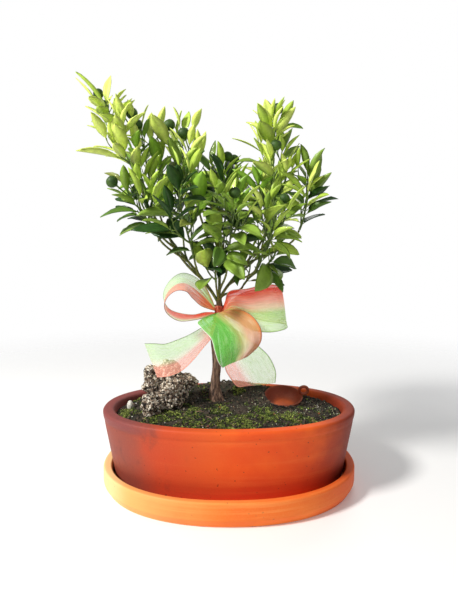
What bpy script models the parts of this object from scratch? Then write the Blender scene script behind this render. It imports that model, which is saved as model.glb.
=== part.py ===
"""A small orange tree trained as a bonsai, in an oval clay pot on its saucer.

Metres, +Z up. The origin is the centre of the saucer's flat underside, and the tree is seen
from the front when looking along +Y. The pot is 280 mm long and the crown tops out at 429 mm.
"""

import math
import random

import bmesh
import bpy
from mathutils import Matrix, Vector, noise
from mathutils.bvhtree import BVHTree

MM = 0.001
GAP = 0.3 * MM
GOLDEN = math.radians(137.5)
UP = Vector((0, 0, 1))

# Saucer and pot: a little squarer than an ellipse, half length along X, half depth along Y
OVAL_SIDES = 28
OVAL_POWER = 2.15
SAUCER_HALF_LENGTH = 139.7 * MM
SAUCER_HALF_DEPTH = 103.5 * MM
SAUCER_HEIGHT = 26.0 * MM
SAUCER_BEVEL = 4.6 * MM
SAUCER_WALL = 9.0 * MM
SAUCER_FLOOR = 8.0 * MM
POT_HALF_LENGTH = 140.0 * MM
POT_HALF_DEPTH = 88.0 * MM
POT_RIM_Z = 87.3 * MM
POT_TAPER = 0.168
POT_WALL = 13.0 * MM
POT_FLOOR = 10.0 * MM
POT_FOOT_Z = SAUCER_FLOOR + GAP
DRAIN_RADIUS = 6.0 * MM
DRAIN_OFFSET = 55.0 * MM
DRAIN_SIDES = 16

# Soil: it meets the wall below the rim, mounds up at the back and dips before the little dish
SOIL_EDGE_Z = 78.5 * MM
SOIL_CLEAR = 0.35 * MM
SOIL_CROWN = 9.5 * MM
SOIL_MOUND = 26.0 * MM
SOIL_MOUND_AT = Vector((0.0, 0.054))
SOIL_MOUND_SIZE = Vector((0.095, 0.024))
SOIL_DIP = 7.0 * MM
SOIL_DIP_AT = Vector((0.0645, 0.008))
SOIL_DIP_SIZE = Vector((0.030, 0.022))

# Trunk: its foot is sawn level just under the soil's surface
TRUNK_FOOT = Vector((-14.5, 10.0, 86.5)) * MM
TRUNK_HEIGHT = 119.5 * MM
TRUNK_SWAY = (0.0, -1.2, 0.4, -0.8, -2.4, 3.6, 3.0)
TRUNK_RADIUS_FOOT = 5.4 * MM
TRUNK_RADIUS_TOP = 3.3 * MM
ROOT_FLARE = 4.2 * MM
ROOT_FLARE_HEIGHT = 9.0 * MM
ROOT_LOBES = 4
TRUNK_SIDES = 12
BOUGH_SIDES = 5

# Boughs: name, parent, share of the parent where it leaves, tip in mm, radius at foot and tip in mm
BOUGHS = (
    ("bough_centre", "trunk", 1.00, (-10, 13, 272), 1.9, 1.1),
    ("bough_left", "trunk", 0.94, (-93, -20, 328), 1.8, 1.1),
    ("bough_right", "trunk", 0.97, (43, 3, 286), 1.7, 1.1),
    ("bough_left_inner", "bough_left", 0.24, (-76, 2, 300), 1.4, 1.0),
    ("bough_left_low", "bough_left", 0.48, (-74, -31, 284), 1.3, 1.0),
    ("bough_centre_left", "bough_centre", 0.55, (-36, 5, 312), 1.4, 1.0),
    ("bough_front_left", "bough_left", 0.12, (-36, -26, 250), 1.3, 1.0),
    ("bough_front", "bough_centre", 0.10, (-2, -20, 240), 1.3, 1.0),
    ("bough_right_outer", "bough_right", 0.50, (76, 0, 280), 1.3, 1.0),
    ("bough_right_low", "bough_right", 0.24, (30, -14, 242), 1.3, 1.0),
    ("bough_right_foot", "bough_right", 0.06, (16, 8, 220), 1.3, 1.0),
    ("bough_fork", "trunk", 0.95, (-14, -9, 224), 1.2, 1.0),
    ("bough_left_foot", "bough_left", 0.40, (-76, -22, 278), 1.2, 1.0),
    ("bough_back_left", "bough_left", 0.33, (-54, 42, 276), 1.3, 1.0),
    ("bough_back", "bough_centre", 0.30, (-6, 46, 272), 1.3, 1.0),
    ("bough_back_right", "bough_right", 0.36, (40, 42, 268), 1.3, 1.0),
)

# Masses of foliage: bough, tip of the stem in mm, side shoots, their length in mm, fruit, seed
MASSES = {
    "foliage_left_tip": ("bough_left", (-122, -22, 402), 5, 24, 2, 236),
    "foliage_left_upper": ("bough_left_inner", (-93, 0, 386), 6, 32, 3, 20),
    "foliage_left_low": ("bough_left_low", (-99, -40, 312), 4, 22, 1, 49),
    "foliage_left_foot": ("bough_left_foot", (-89, -29, 300), 3, 18, 0, 14),
    "foliage_centre_left": ("bough_centre_left", (-56, 2, 376), 7, 30, 3, 137),
    "foliage_front_left": ("bough_front_left", (-50, -50, 318), 6, 32, 1, 172),
    "foliage_centre": ("bough_centre", (-8, 10, 344), 7, 32, 3, 116),
    "foliage_front": ("bough_front", (3, -50, 300), 6, 32, 1, 50),
    "foliage_right_spire": ("bough_right", (45, 0, 393), 8, 32, 2, 154),
    "foliage_right_outer": ("bough_right_outer", (84, -2, 338), 4, 26, 0, 149),
    "foliage_right_low": ("bough_right_low", (48, -30, 298), 6, 32, 1, 56),
    "foliage_right_foot": ("bough_right_foot", (50, -14, 258), 5, 26, 0, 197),
    "foliage_fork": ("bough_fork", (-15, -17, 248), 3, 20, 0, 154),
    "foliage_back_left": ("bough_back_left", (-68, 66, 346), 5, 32, 1, 127),
    "foliage_back": ("bough_back", (-4, 74, 342), 5, 32, 1, 160),
    "foliage_back_right": ("bough_back_right", (54, 62, 338), 5, 32, 1, 155),
}
STEM_RADIUS = 1.3 * MM
SHOOT_RADIUS = 1.05 * MM
TWIG_TIP_RADIUS = 0.8 * MM
TWIG_SIDES = 3
SHOOT_LEAN = math.radians(42)
FIRST_SHOOT = 0.10
LAST_SHOOT = 0.80

# Leaves: pointed ovals that stand up round each twig, smaller and steeper towards its tip
LEAF_LENGTH = 42.5 * MM
LEAF_WIDTH = 0.44
YOUNG_NARROWER = 0.10
LEAF_FOLD = 0.10
LEAF_BEND = 0.06
LEAF_SPACING = 7.1 * MM
LEAF_SPLAY_TIP = math.radians(14)
LEAF_SPLAY_LOW = math.radians(44)
EXTRA_SPREAD = math.radians(16)
LEAF_UPTURN = 1.0
ROSETTE = 1.25
SPREADING_Z = 250.0 * MM
UPRIGHT_Z = 335.0 * MM
SHOOT_UPTURN = 0.5
BARE_STEM = 0.38
BARE_SHOOT = 0.28
YOUNG_SIZE = 0.74
FULL_SIZE = 1.04
LEAF_SINK = 0.4 * MM
LEAF_BODY = 0.2 * MM
LEAF_CLEAR = 1.0 * MM
LEAF_TRIES = 7
TURN_STEP = math.radians(22)
SPLAY_STEP = math.radians(4)
SHOOT_CLEAR = 0.6 * MM
FRUIT_CLEAR = 0.4 * MM
FRUIT_FOOT = 0.96
FRUIT_LEAN = 0.38
FRUIT_STALK = 15.0 * MM
FRUIT_RADIUS = 6.0 * MM

# Ribbon: each strip's two edges, station by station, in mm
RIBBON_THICKNESS = 0.9 * MM
RIBBON_SPANS = 2
RIBBON_STEPS = 2
KNOT_CENTRE = Vector((-10.7, 10.0, 189.0)) * MM
KNOT_RADIUS = 7.6 * MM
KNOT_HEIGHT = 15.0 * MM
KNOT_SIDES = 14
RIBBONS = {
    "ribbon_loop_left": (
        ((-15.5, 11, 194.5), (-15.5, 6, 191.5)),
        ((-26.5, 11, 218), (-29.5, -6, 198)),
        ((-38.5, 14, 229), (-38.5, -20, 208)),
        ((-52.5, 18, 233), (-44.5, -27, 215.5)),
        ((-64.5, 19, 227), (-54.5, -29, 216.5)),
        ((-73.5, 19, 214), (-63.5, -30, 210)),
        ((-74, 18, 202), (-67, -30, 200)),
        ((-68, 16, 192.5), (-63, -30, 191.5)),
        ((-56, 13, 188), (-52, -26, 184.5)),
        ((-40.5, 11, 186.5), (-37, -15, 184)),
        ((-27, 9, 189.5), (-25.5, -5, 185.5)),
        ((-15.5, 10, 189), (-15.5, 6, 187)),
    ),
    "ribbon_loop_right": (
        ((-6, 8, 194.5), (-6, 6, 188.5)),
        ((-0.5, 1, 213), (7.5, -3, 182)),
        ((19.5, -7, 217), (23.5, -11, 173)),
        ((38.5, -11, 222), (42.5, -17, 171)),
        ((51.5, -9, 221), (58.5, -13, 173)),
        ((57.5, 0, 218), (64.5, -1, 175)),
        ((51.5, 11, 217), (58.5, 9, 177)),
        ((33.5, 17, 215), (39.5, 15, 179)),
        ((12.5, 18, 209), (17.5, 17, 185)),
        ((-6, 14, 194.5), (-6, 12.5, 189)),
    ),
    "ribbon_loop_front": (
        ((-14, 5, 188.5), (-7.5, 5, 190.5)),
        ((-32.5, -17, 183), (9.5, -14, 195)),
        ((-28.5, -27, 177), (23.5, -26, 190)),
        ((-18.5, -37, 168), (32.5, -34, 178)),
        ((-14.5, -45, 157), (33, -33, 164)),
        ((-10.5, -50, 146), (25.5, -23, 151)),
        ((-6, -46, 139.5), (15.5, -12, 142)),
        ((-8, -31, 147), (16.5, -5, 154)),
        ((-10.5, -14, 163), (9.5, -4, 169)),
        ((-13.5, 5, 185.5), (-8.5, 5, 186)),
    ),
    "ribbon_tail_left": (
        ((-16.5, 5.5, 184), (-13, 4, 183)),
        ((-19.5, 3.5, 179.5), (-14.5, 1, 177)),
        ((-28.5, -5, 175), (-19.5, -7, 163)),
        ((-42.5, -14, 168), (-28.5, -15, 153)),
        ((-54.5, -23, 164), (-37.5, -24, 143)),
        ((-66.5, -31, 161), (-48.5, -34, 134)),
        ((-76.5, -37, 162.5), (-60.5, -42, 130)),
        ((-86.5, -40, 163), (-73.5, -44, 129)),
    ),
    "ribbon_tail_right": (
        ((-6, 5.5, 184), (-9, 4, 183)),
        ((-4.5, 5, 179), (-8, 1.5, 176)),
        ((13.5, 6, 166), (-5.5, 1, 152)),
        ((34.5, 13, 149), (-4.5, 5, 128)),
        ((47.5, 25, 134), (0.5, 11, 115)),
        ((56.5, 41, 113), (9.5, 20, 101)),
        ((57.5, 56, 95), (19.5, 27, 99)),
    ),
}

# Stones and the little clay dish on the soil
ROCK_LOBES = (
    ((-68, -6, 101), (22, 19, 20)),
    ((-83, -6, 113), (12, 15, 20)),
    ((-67, -4, 121), (15, 13, 16)),
    ((-51, 0, 113), (15, 12, 9)),
    ((-84, -25, 92), (10, 12, 13)),
)
ROCK_DETAIL = 3
ROCK_ROUGHNESS = 0.30
ROCK_GRAIN = 9.0 * MM
PEBBLE_CENTRE = Vector((-111, -2, 85.5)) * MM
PEBBLE_SIZE = Vector((3.5, 4.0, 5.5)) * MM
PEBBLE_ROUGHNESS = 0.1
PEBBLE_GRAIN = 6.0 * MM
DISH_CENTRE = Vector((64.5, 29.0, 87.0)) * MM
DISH_RADIUS = 23.5 * MM
DISH_DEPTH = 14.0 * MM
DISH_WALL = 2.6 * MM
DISH_TILT = math.radians(15)
DISH_SIDES = 18
EAR_CENTRE = Vector((23.8, 0, 7.4)) * MM
EAR_RADIUS = 5.1 * MM
EAR_TUBE = 1.7 * MM
EAR_STATIONS = 10
EAR_SIDES = 5


def material(name, colour, roughness):
    """A plain Principled material."""
    made = bpy.data.materials.get(name) or bpy.data.materials.new(name)
    made.use_nodes = True
    shader = made.node_tree.nodes["Principled BSDF"]
    shader.inputs["Base Color"].default_value = (*colour, 1)
    shader.inputs["Roughness"].default_value = roughness
    shader.inputs["Metallic"].default_value = 0.0
    return made


def materials():
    """The finishes, by name."""
    return {
        "clay": material("clay", (0.62, 0.16, 0.06), 0.75),
        "pale_clay": material("pale_clay", (0.78, 0.32, 0.10), 0.75),
        "soil": material("soil", (0.03, 0.035, 0.02), 0.95),
        "bark": material("bark", (0.17, 0.10, 0.06), 0.85),
        "leaf": material("leaf", (0.22, 0.45, 0.06), 0.40),
        "rock": material("rock", (0.36, 0.30, 0.25), 0.90),
        "red_ribbon": material("red_ribbon", (0.80, 0.20, 0.14), 0.55),
        "green_ribbon": material("green_ribbon", (0.40, 0.75, 0.30), 0.55),
    }


def finished(name, bm, finish):
    """Turns a bmesh into a named object of triangles with its faces pointing out."""
    bmesh.ops.triangulate(bm, faces=bm.faces)
    bmesh.ops.recalc_face_normals(bm, faces=bm.faces)
    mesh = bpy.data.meshes.new(name)
    bm.to_mesh(mesh)
    bm.free()
    made = bpy.data.objects.new(name, mesh)
    bpy.context.collection.objects.link(made)
    made.data.materials.append(finish)
    return made


def apply_boolean(target, operation, **settings):
    """Adds one Boolean modifier to an object and applies it."""
    modifier = target.modifiers.new("boolean", "BOOLEAN")
    modifier.operation = operation
    modifier.solver = "EXACT"
    for key, value in settings.items():
        setattr(modifier, key, value)
    with bpy.context.temp_override(object=target, active_object=target):
        bpy.ops.object.modifier_apply(modifier=modifier.name)


def remove(*objects):
    for gone in objects:
        bpy.data.objects.remove(gone)


def grown(source, by):
    """A copy whose surface stands out by the given distance: the cutter that leaves a gap."""
    bm = bmesh.new()
    bm.from_mesh(source.data)
    bm.normal_update()
    shifts = [(v, v.normal * by * min(v.calc_shell_factor(), 2.0)) for v in bm.verts]
    for v, shift in shifts:
        v.co += shift
    cutter = finished(source.name + "_cutter", bm, source.data.materials[0])
    cutter.hide_render = True
    cutter.display_type = "WIRE"
    return cutter


def cut_clear(target, other, gap=GAP):
    """Cuts the other object's space, and a small gap round it, out of the target."""
    cutter = grown(other, gap)
    apply_boolean(target, "DIFFERENCE", object=cutter)
    remove(cutter)


def surface(made):
    """The search tree of an object's surface."""
    return BVHTree.FromObject(made, bpy.context.evaluated_depsgraph_get())


def join_all(base, others):
    """One Boolean union on a collection fuses the others to the base, and removes them."""
    group = bpy.data.collections.new(base.name + "_members")
    bpy.context.scene.collection.children.link(group)
    for other in others:
        group.objects.link(other)
    apply_boolean(base, "UNION", operand_type="COLLECTION", collection=group)
    remove(*others)
    bpy.data.collections.remove(group)


def keep_main_body(target):
    """Drops loose scraps, and fills a sealed hollow by dropping its inner shell."""
    bm = bmesh.new()
    bm.from_mesh(target.data)
    shells = []
    unseen = set(bm.faces)
    while unseen:
        start = unseen.pop()
        shell = {start}
        front = [start]
        while front:
            for edge in front.pop().edges:
                for face in edge.link_faces:
                    if face not in shell:
                        shell.add(face)
                        front.append(face)
        unseen -= shell
        shells.append(shell)
    biggest = max(shells, key=len)
    spare = [face for shell in shells if shell is not biggest for face in shell]
    bmesh.ops.delete(bm, geom=spare, context="FACES")
    bm.to_mesh(target.data)
    bm.free()


def loft(bm, rings):
    """Skins closed rings of vertices in order and caps both ends."""
    count = len(rings[0])
    for low, high in zip(rings, rings[1:]):
        for i in range(count):
            j = (i + 1) % count
            bm.faces.new((low[i], low[j], high[j], high[i]))
    bm.faces.new(rings[0][::-1])
    bm.faces.new(rings[-1])


def squarer(wave, power):
    """A cosine or sine bent so that the oval it draws is squarer than an ellipse."""
    return math.copysign(abs(wave) ** (2 / power), wave)


def oval_ring(bm, half_length, half_depth, height, sides=OVAL_SIDES, power=OVAL_POWER):
    """One oval ring. The height is a number, or a function of x and y."""
    ring = []
    for i in range(sides):
        turn = 2 * math.pi * i / sides
        x = half_length * squarer(math.cos(turn), power)
        y = half_depth * squarer(math.sin(turn), power)
        z = height(x, y) if callable(height) else height
        ring.append(bm.verts.new((x, y, z)))
    return ring


def oval_solid(name, profile, finish):
    """A solid of oval rings: each profile entry is half length, half depth and height."""
    bm = bmesh.new()
    loft(bm, [oval_ring(bm, *entry) for entry in profile])
    return finished(name, bm, finish)


def saucer(finish):
    """The saucer: an upright wall bevelled at its foot, with a thick rim that slopes inwards."""
    top = SAUCER_HEIGHT
    inset_height = (
        (SAUCER_BEVEL + 1.0 * MM, 0.0),
        (SAUCER_BEVEL, 0.8 * MM),
        (0.9 * MM, 7.0 * MM),
        (0.0, 11.0 * MM),
        (0.0, top - 3.0 * MM),
        (1.8 * MM, top),
        (SAUCER_WALL - 2.0 * MM, top - 0.8 * MM),
        (SAUCER_WALL, top - 3.0 * MM),
        (SAUCER_WALL + 2.0 * MM, SAUCER_FLOOR),
    )
    profile = [(SAUCER_HALF_LENGTH - d, SAUCER_HALF_DEPTH - d, z) for d, z in inset_height]
    return oval_solid("saucer", profile, finish)


def pot_half(z, inset=0.0):
    """Half length and half depth of the pot's tapering wall at a height, less an inset."""
    drop = POT_TAPER * (POT_RIM_Z - z)
    return POT_HALF_LENGTH - drop - inset, POT_HALF_DEPTH - drop - inset


def pot(finish):
    """Oval pot with a rounded lip and two drain holes in its floor."""
    lip = POT_RIM_Z
    floor = POT_FOOT_Z + POT_FLOOR
    inset_height = (
        (1.5 * MM, POT_FOOT_Z),
        (0.0, POT_FOOT_Z + 1.8 * MM),
        (0.0, lip - 5.0 * MM),
        (0.4 * MM, lip - 2.2 * MM),
        (2.4 * MM, lip - 0.4 * MM),
        (5.0 * MM, lip),
        (POT_WALL - 3.4 * MM, lip),
        (POT_WALL, lip - 2.8 * MM),
        (POT_WALL, floor),
    )
    made = oval_solid("pot", [(*pot_half(z, d), z) for d, z in inset_height], finish)
    for side in (-1, 1):
        bm = bmesh.new()
        place = Matrix.Translation((side * DRAIN_OFFSET, 0, POT_FOOT_Z + POT_FLOOR / 2))
        bmesh.ops.create_cone(
            bm,
            cap_ends=True,
            segments=DRAIN_SIDES,
            radius1=DRAIN_RADIUS,
            radius2=DRAIN_RADIUS,
            depth=2 * POT_FLOOR,
            matrix=place,
        )
        drill = finished("drill", bm, finish)
        apply_boolean(made, "DIFFERENCE", object=drill)
        remove(drill)
    return made


def swell(x, y, centre, size):
    """A smooth swelling: 1 at its centre, and nothing far from it."""
    return math.exp(-(((x - centre.x) / size.x) ** 2) - ((y - centre.y) / size.y) ** 2)


def soil_height(x, y):
    """Height of the soil's surface: a low crown, a mound at the back and a dip by the dish."""
    half_length, half_depth = pot_half(SOIL_EDGE_Z, POT_WALL)
    reach = min(1.0, abs(x / half_length) ** OVAL_POWER + abs(y / half_depth) ** OVAL_POWER)
    mound = SOIL_MOUND * swell(x, y, SOIL_MOUND_AT, SOIL_MOUND_SIZE) * (1 - reach)
    dip = SOIL_DIP * swell(x, y, SOIL_DIP_AT, SOIL_DIP_SIZE)
    return SOIL_EDGE_Z + SOIL_CROWN * (1 - reach) ** 0.8 + mound - dip


def soil(finish):
    """The soil fills the pot, a little clear of its wall."""
    bm = bmesh.new()
    clear = POT_WALL + SOIL_CLEAR
    floor = POT_FOOT_Z + POT_FLOOR + GAP
    rings = [oval_ring(bm, *pot_half(floor, clear), floor)]
    half_length, half_depth = pot_half(SOIL_EDGE_Z, clear)
    for share in (1.0, 0.88, 0.72, 0.55, 0.36, 0.18):
        rings.append(oval_ring(bm, half_length * share, half_depth * share, soil_height))
    loft(bm, rings)
    return finished("soil", bm, finish)


def smooth_path(points, steps):
    """Points along a Catmull-Rom curve through the given points."""
    ends = [2 * points[0] - points[1], *points, 2 * points[-1] - points[-2]]
    path = []
    for a, b, c, d in zip(ends, ends[1:], ends[2:], ends[3:]):
        for k in range(steps):
            t = k / steps
            path.append(
                0.5
                * (
                    2 * b
                    + (c - a) * t
                    + (2 * a - 5 * b + 4 * c - d) * t**2
                    + (3 * b - a - 3 * c + d) * t**3
                )
            )
    path.append(points[-1].copy())
    return path


def bezier(p0, p1, p2, p3, steps):
    """Points along a cubic curve from p0 to p3."""
    path = []
    for k in range(steps + 1):
        t = k / steps
        s = 1 - t
        path.append(s**3 * p0 + 3 * s * s * t * p1 + 3 * s * t * t * p2 + t**3 * p3)
    return path


def along(path, share):
    """The point and the direction at a share of a path's stations."""
    at = min(max(share, 0.0), 1.0) * (len(path) - 1)
    i = min(int(at), len(path) - 2)
    step = path[i + 1] - path[i]
    return path[i] + step * (at - i), step.normalized()


def tube(bm, path, radii, sides, lobe=None):
    """A closed tube along a path. lobe(station, turn) scales the radius round the ring."""
    side = UP.orthogonal()
    rings = []
    for k, point in enumerate(path):
        ahead = (path[min(k + 1, len(path) - 1)] - path[max(k - 1, 0)]).normalized()
        side = (side - ahead * side.dot(ahead)).normalized()
        across = ahead.cross(side)
        ring = []
        for i in range(sides):
            turn = 2 * math.pi * i / sides
            radius = radii[k] * (lobe(k, turn) if lobe else 1.0)
            out = side * math.cos(turn) + across * math.sin(turn)
            ring.append(bm.verts.new(point + out * radius))
        rings.append(ring)
    loft(bm, rings)


def trunk_path(steps=14):
    """The trunk's centre line: upright, with the slight sways of TRUNK_SWAY."""
    knots = []
    for k, sway in enumerate(TRUNK_SWAY):
        share = k / (len(TRUNK_SWAY) - 1)
        knots.append(TRUNK_FOOT + Vector((sway * MM, 0, TRUNK_HEIGHT * share)))
    curve = smooth_path(knots, 6)
    return [along(curve, k / steps)[0] for k in range(steps + 1)]


def trunk(finish):
    """The trunk, from its level foot with a root flare to the fork."""
    path = trunk_path()
    radii = []
    flares = []
    for point in path:
        height = point.z - TRUNK_FOOT.z
        flare = math.exp(-height / ROOT_FLARE_HEIGHT)
        share = height / TRUNK_HEIGHT
        taper = TRUNK_RADIUS_FOOT + (TRUNK_RADIUS_TOP - TRUNK_RADIUS_FOOT) * share
        radii.append(taper + ROOT_FLARE * flare)
        flares.append(flare)

    def lobe(station, turn):
        return 1 + 0.16 * flares[station] * math.sin(ROOT_LOBES * turn) + 0.05 * math.sin(2 * turn)

    bm = bmesh.new()
    tube(bm, path, radii, TRUNK_SIDES, lobe)
    low = min(v.co.z for v in bm.verts)
    for v in bm.verts:
        if v.co.z < low + 0.4 * MM:
            v.co.z = TRUNK_FOOT.z
    return finished("trunk", bm, finish)


def bough_path(start, parent_way, tip, steps=7):
    """A limb leaves its parent steeply, leans out and turns up again at its tip."""
    span = tip - start
    level = Vector((span.x, span.y, 0)).normalized()
    leave = 0.33 * span.length * (0.75 * parent_way + 0.35 * level)
    arrive = 0.36 * span.length * (0.90 * UP + 0.25 * level)
    return bezier(start, start + leave, tip - arrive, tip, steps)


def boughs(finish, limbs, paths):
    """Every bough, cut 0.3 mm clear of its parent and of any limb made before it."""
    cutters = [grown(limbs["trunk"], GAP)]
    for name, parent, share, tip, foot_radius, tip_radius in BOUGHS:
        start, way = along(paths[parent], share)
        if share == 1.0:
            start = start + way * GAP
        path = bough_path(start, way, Vector(tip) * MM)
        paths[name] = path
        last = len(path) - 1
        radii = [(foot_radius + (tip_radius - foot_radius) * k / last) * MM for k in range(last + 1)]
        bm = bmesh.new()
        tube(bm, path, radii, BOUGH_SIDES)
        made = finished(name, bm, finish)
        earlier = list(cutters)
        cutters.append(grown(made, GAP))
        for cutter in earlier:
            if surface(made).overlap(surface(cutter)):
                apply_boolean(made, "DIFFERENCE", object=cutter)
        keep_main_body(made)
        limbs[name] = made
    remove(*cutters)


class Space:
    """What is already in the crown's air, and whether a new shape would touch it."""

    def __init__(self):
        self.items = []

    @staticmethod
    def box(points):
        low = Vector([min(p[k] for p in points) for k in range(3)])
        high = Vector([max(p[k] for p in points) for k in range(3)])
        return low, high

    def add(self, owner, points, faces):
        self.items.append((owner, self.box(points), BVHTree.FromPolygons(points, faces)))

    def add_object(self, made):
        points = [v.co.copy() for v in made.data.vertices]
        self.add(made.name, points, [tuple(p.vertices) for p in made.data.polygons])

    def free(self, points, faces, owners=()):
        """True if the shape touches nothing but items of the named owners."""
        low, high = self.box(points)
        tree = BVHTree.FromPolygons(points, faces)
        for owner, (low2, high2), other in self.items:
            if owner in owners:
                continue
            if any(low[k] > high2[k] or low2[k] > high[k] for k in range(3)):
                continue
            if tree.overlap(other):
                return False
        return True


def tube_faces(rings, sides):
    """Face indices of a tube of rings with capped ends."""
    faces = []
    for k in range(rings - 1):
        for i in range(sides):
            j = (i + 1) % sides
            faces.append((k * sides + i, k * sides + j, (k + 1) * sides + j, (k + 1) * sides + i))
    faces.append(tuple(range(sides)))
    faces.append(tuple((rings - 1) * sides + i for i in range(sides)))
    return faces


def twig_probe(path, radius):
    """A slightly fat four-sided tube for testing whether a twig has room."""
    bm = bmesh.new()
    tube(bm, path, [radius] * len(path), 4)
    points = [v.co.copy() for v in bm.verts]
    bm.free()
    return points, tube_faces(len(path), 4)


def leaf_frame(way, phase, splay, roll):
    """Direction and upper-face normal of a leaf that leaves a twig at an angle."""
    side = way.orthogonal().normalized()
    out = Matrix.Rotation(phase, 3, way) @ side
    direction = (way * math.cos(splay) + out * math.sin(splay)).normalized()
    normal = (way - direction * way.dot(direction)).normalized()
    normal = Matrix.Rotation(roll, 3, direction) @ normal
    return direction, normal


def youth_at(z):
    """0 for the spreading leaves low in the crown, 1 for the upright ones high in it."""
    return min(1.0, max(0.0, (z - SPREADING_Z) / (UPRIGHT_Z - SPREADING_Z)))


def half_width_of(root, length):
    """Half the width of a blade: young ones, high in the crown, are narrower."""
    return 0.5 * length * (LEAF_WIDTH - YOUNG_NARROWER * youth_at(root.z))


def leaf_point(root, direction, normal, length, s, half_width, lift):
    """A point of the blade: s along it, half_width across it, lift off its plane."""
    across = direction.cross(normal)
    bend = -LEAF_BEND * length * s * s
    rise = LEAF_FOLD * abs(half_width) + bend + lift
    return root + direction * (length * s) + across * half_width + normal * rise


LEAF_OUTLINE = ((0.0, 0.0), (0.30, 1.0), (0.68, 0.86), (1.0, 0.0), (0.68, -0.86), (0.30, -1.0))
LEAF_TOP = ((0, 1, 5), (1, 2, 4), (1, 4, 5), (2, 3, 4))
LEAF_KEEL = ((0, 3, 1), (1, 3, 2), (0, 5, 3), (5, 4, 3))


def leaf_points(root, direction, normal, length):
    """The blade's six outline points. Its sides stand above its keel, which gives it body."""
    width = half_width_of(root, length)
    return [leaf_point(root, direction, normal, length, s, w * width, 0) for s, w in LEAF_OUTLINE]


BLADE = ((0.20, 0.7), (0.30, 1.06), (0.69, 0.94), (1.03, 0.0), (0.69, -0.94), (0.30, -1.06), (0.20, -0.7))
FOOT = ((0.0, 0.15), (0.22, 0.85), (0.22, -0.85), (0.0, -0.15))
KEEL_DEPTH = 0.9 * MM


def leaf_probe(root, direction, normal, length, clear, outline=BLADE):
    """The blade or its foot, thickened by a clearance, for testing whether it has room."""
    width = half_width_of(root, length)
    points = []
    for lift in (clear, -clear - KEEL_DEPTH):
        for s, w in outline:
            points.append(leaf_point(root, direction, normal, length, s, w * width, lift))
    count = len(outline)
    faces = [tuple(range(count)), tuple(range(count, 2 * count))]
    for i in range(count):
        j = (i + 1) % count
        faces.append((i, j, count + j, count + i))
    return points, faces


def mass_stem(bough, tip):
    """The stem of a mass: it carries on from the bough's tip, 0.3 mm clear of it."""
    start, way = along(bough, 1.0)
    start = start + way * GAP
    span = tip - start
    arrive = (0.8 * UP + 0.5 * span.normalized()).normalized()
    return bezier(start, start + 0.3 * span.length * way, tip - 0.35 * span.length * arrive, tip, 5)


def side_shoots(name, stem, count, length, seed):
    """Side shoots round a stem, by the golden angle, shorter towards the tip and turning up."""
    shoots = []
    phase = random.Random(f"{name} {seed}").uniform(0, 2 * math.pi)
    for i in range(count):
        rule = random.Random(f"{name} {seed} shoot {i}")
        share = FIRST_SHOOT + (LAST_SHOOT - FIRST_SHOOT) * i / max(1, count - 1)
        start, way = along(stem, share)
        lean = SHOOT_LEAN * rule.uniform(0.75, 1.25)
        reach = length * MM * (1.15 - 0.55 * share) * rule.uniform(0.85, 1.15)
        out = Matrix.Rotation(phase + i * GOLDEN + rule.uniform(-0.3, 0.3), 3, way)
        out = out @ way.orthogonal().normalized()
        away = (way * math.cos(lean) + out * math.sin(lean)).normalized()
        end = start + (away * 0.8 + UP * SHOOT_UPTURN).normalized() * reach
        shoots.append(bezier(start, start + 0.4 * reach * away, end - 0.3 * reach * UP, end, 3))
    return shoots


def leaf_slots(name, twig, path, seed, first):
    """Each leaf's foot, direction, normal and length along one twig, before any is skipped."""
    total = sum((b - a).length for a, b in zip(path, path[1:]))
    count = max(3, round(total * (1 - first) / LEAF_SPACING))
    turn = random.Random(f"{name} {seed} {twig}").uniform(0, 2 * math.pi)
    slots = []
    for k in range(count):
        rule = random.Random(f"{name} {seed} {twig} leaf {k}")
        down = k / max(1, count - 1)
        point, way = along(path, 1 - (1 - first) * down**ROSETTE)
        young = youth_at(point.z)
        way = (way + LEAF_UPTURN * young * UP).normalized()
        splay = LEAF_SPLAY_TIP + (LEAF_SPLAY_LOW - LEAF_SPLAY_TIP) * down**0.8 + EXTRA_SPREAD * (1 - young)
        splay *= rule.uniform(0.8, 1.2)
        grown_up = YOUNG_SIZE + (FULL_SIZE - YOUNG_SIZE) * min(1.0, 1.6 * down)
        size = LEAF_LENGTH * grown_up * rule.uniform(0.86, 1.10)
        roll = rule.uniform(-0.45, 0.45)
        tries = []
        for attempt in range(LEAF_TRIES):
            shift = (attempt + 1) // 2 * TURN_STEP * (1 if attempt % 2 else -1)
            wider = splay + attempt * SPLAY_STEP
            direction, normal = leaf_frame(way, turn + k * GOLDEN + shift, wider, roll)
            root = point - direction * LEAF_SINK
            tries.append((root, direction, normal, size * (1 - 0.03 * attempt)))
        slots.append(tries)
    return slots


def fruit_places(stem, shoots, count, seed, name):
    """Feet, centres and radii of the fruit, each on a stalk that stands up from a twig's tip."""
    places = []
    for i in range(count):
        rule = random.Random(f"{name} {seed} fruit {i}")
        path = stem if i == 0 else shoots[(2 * i + 1) % len(shoots)]
        foot, way = along(path, FRUIT_FOOT)
        radius = FRUIT_RADIUS * rule.uniform(0.85, 1.05)
        away = Vector((foot.x - TRUNK_FOOT.x, foot.y - TRUNK_FOOT.y, 0))
        side = (away - way * away.dot(way)).normalized()
        lean = rule.uniform(-0.8, 0.8)
        stalk = FRUIT_STALK * rule.uniform(0.6, 1.2)
        tries = []
        for attempt in range(6):
            out = Matrix.Rotation(lean + attempt, 3, way) @ side
            reach = (way + FRUIT_LEAN * out).normalized() * (stalk + radius)
            tries.append((foot, foot + reach, radius))
        places.append(tries)
    return places


def ball(centre, radius):
    bm = bmesh.new()
    place = Matrix.Translation(centre)
    bmesh.ops.create_icosphere(bm, subdivisions=1, radius=radius, matrix=place)
    return bm


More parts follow.
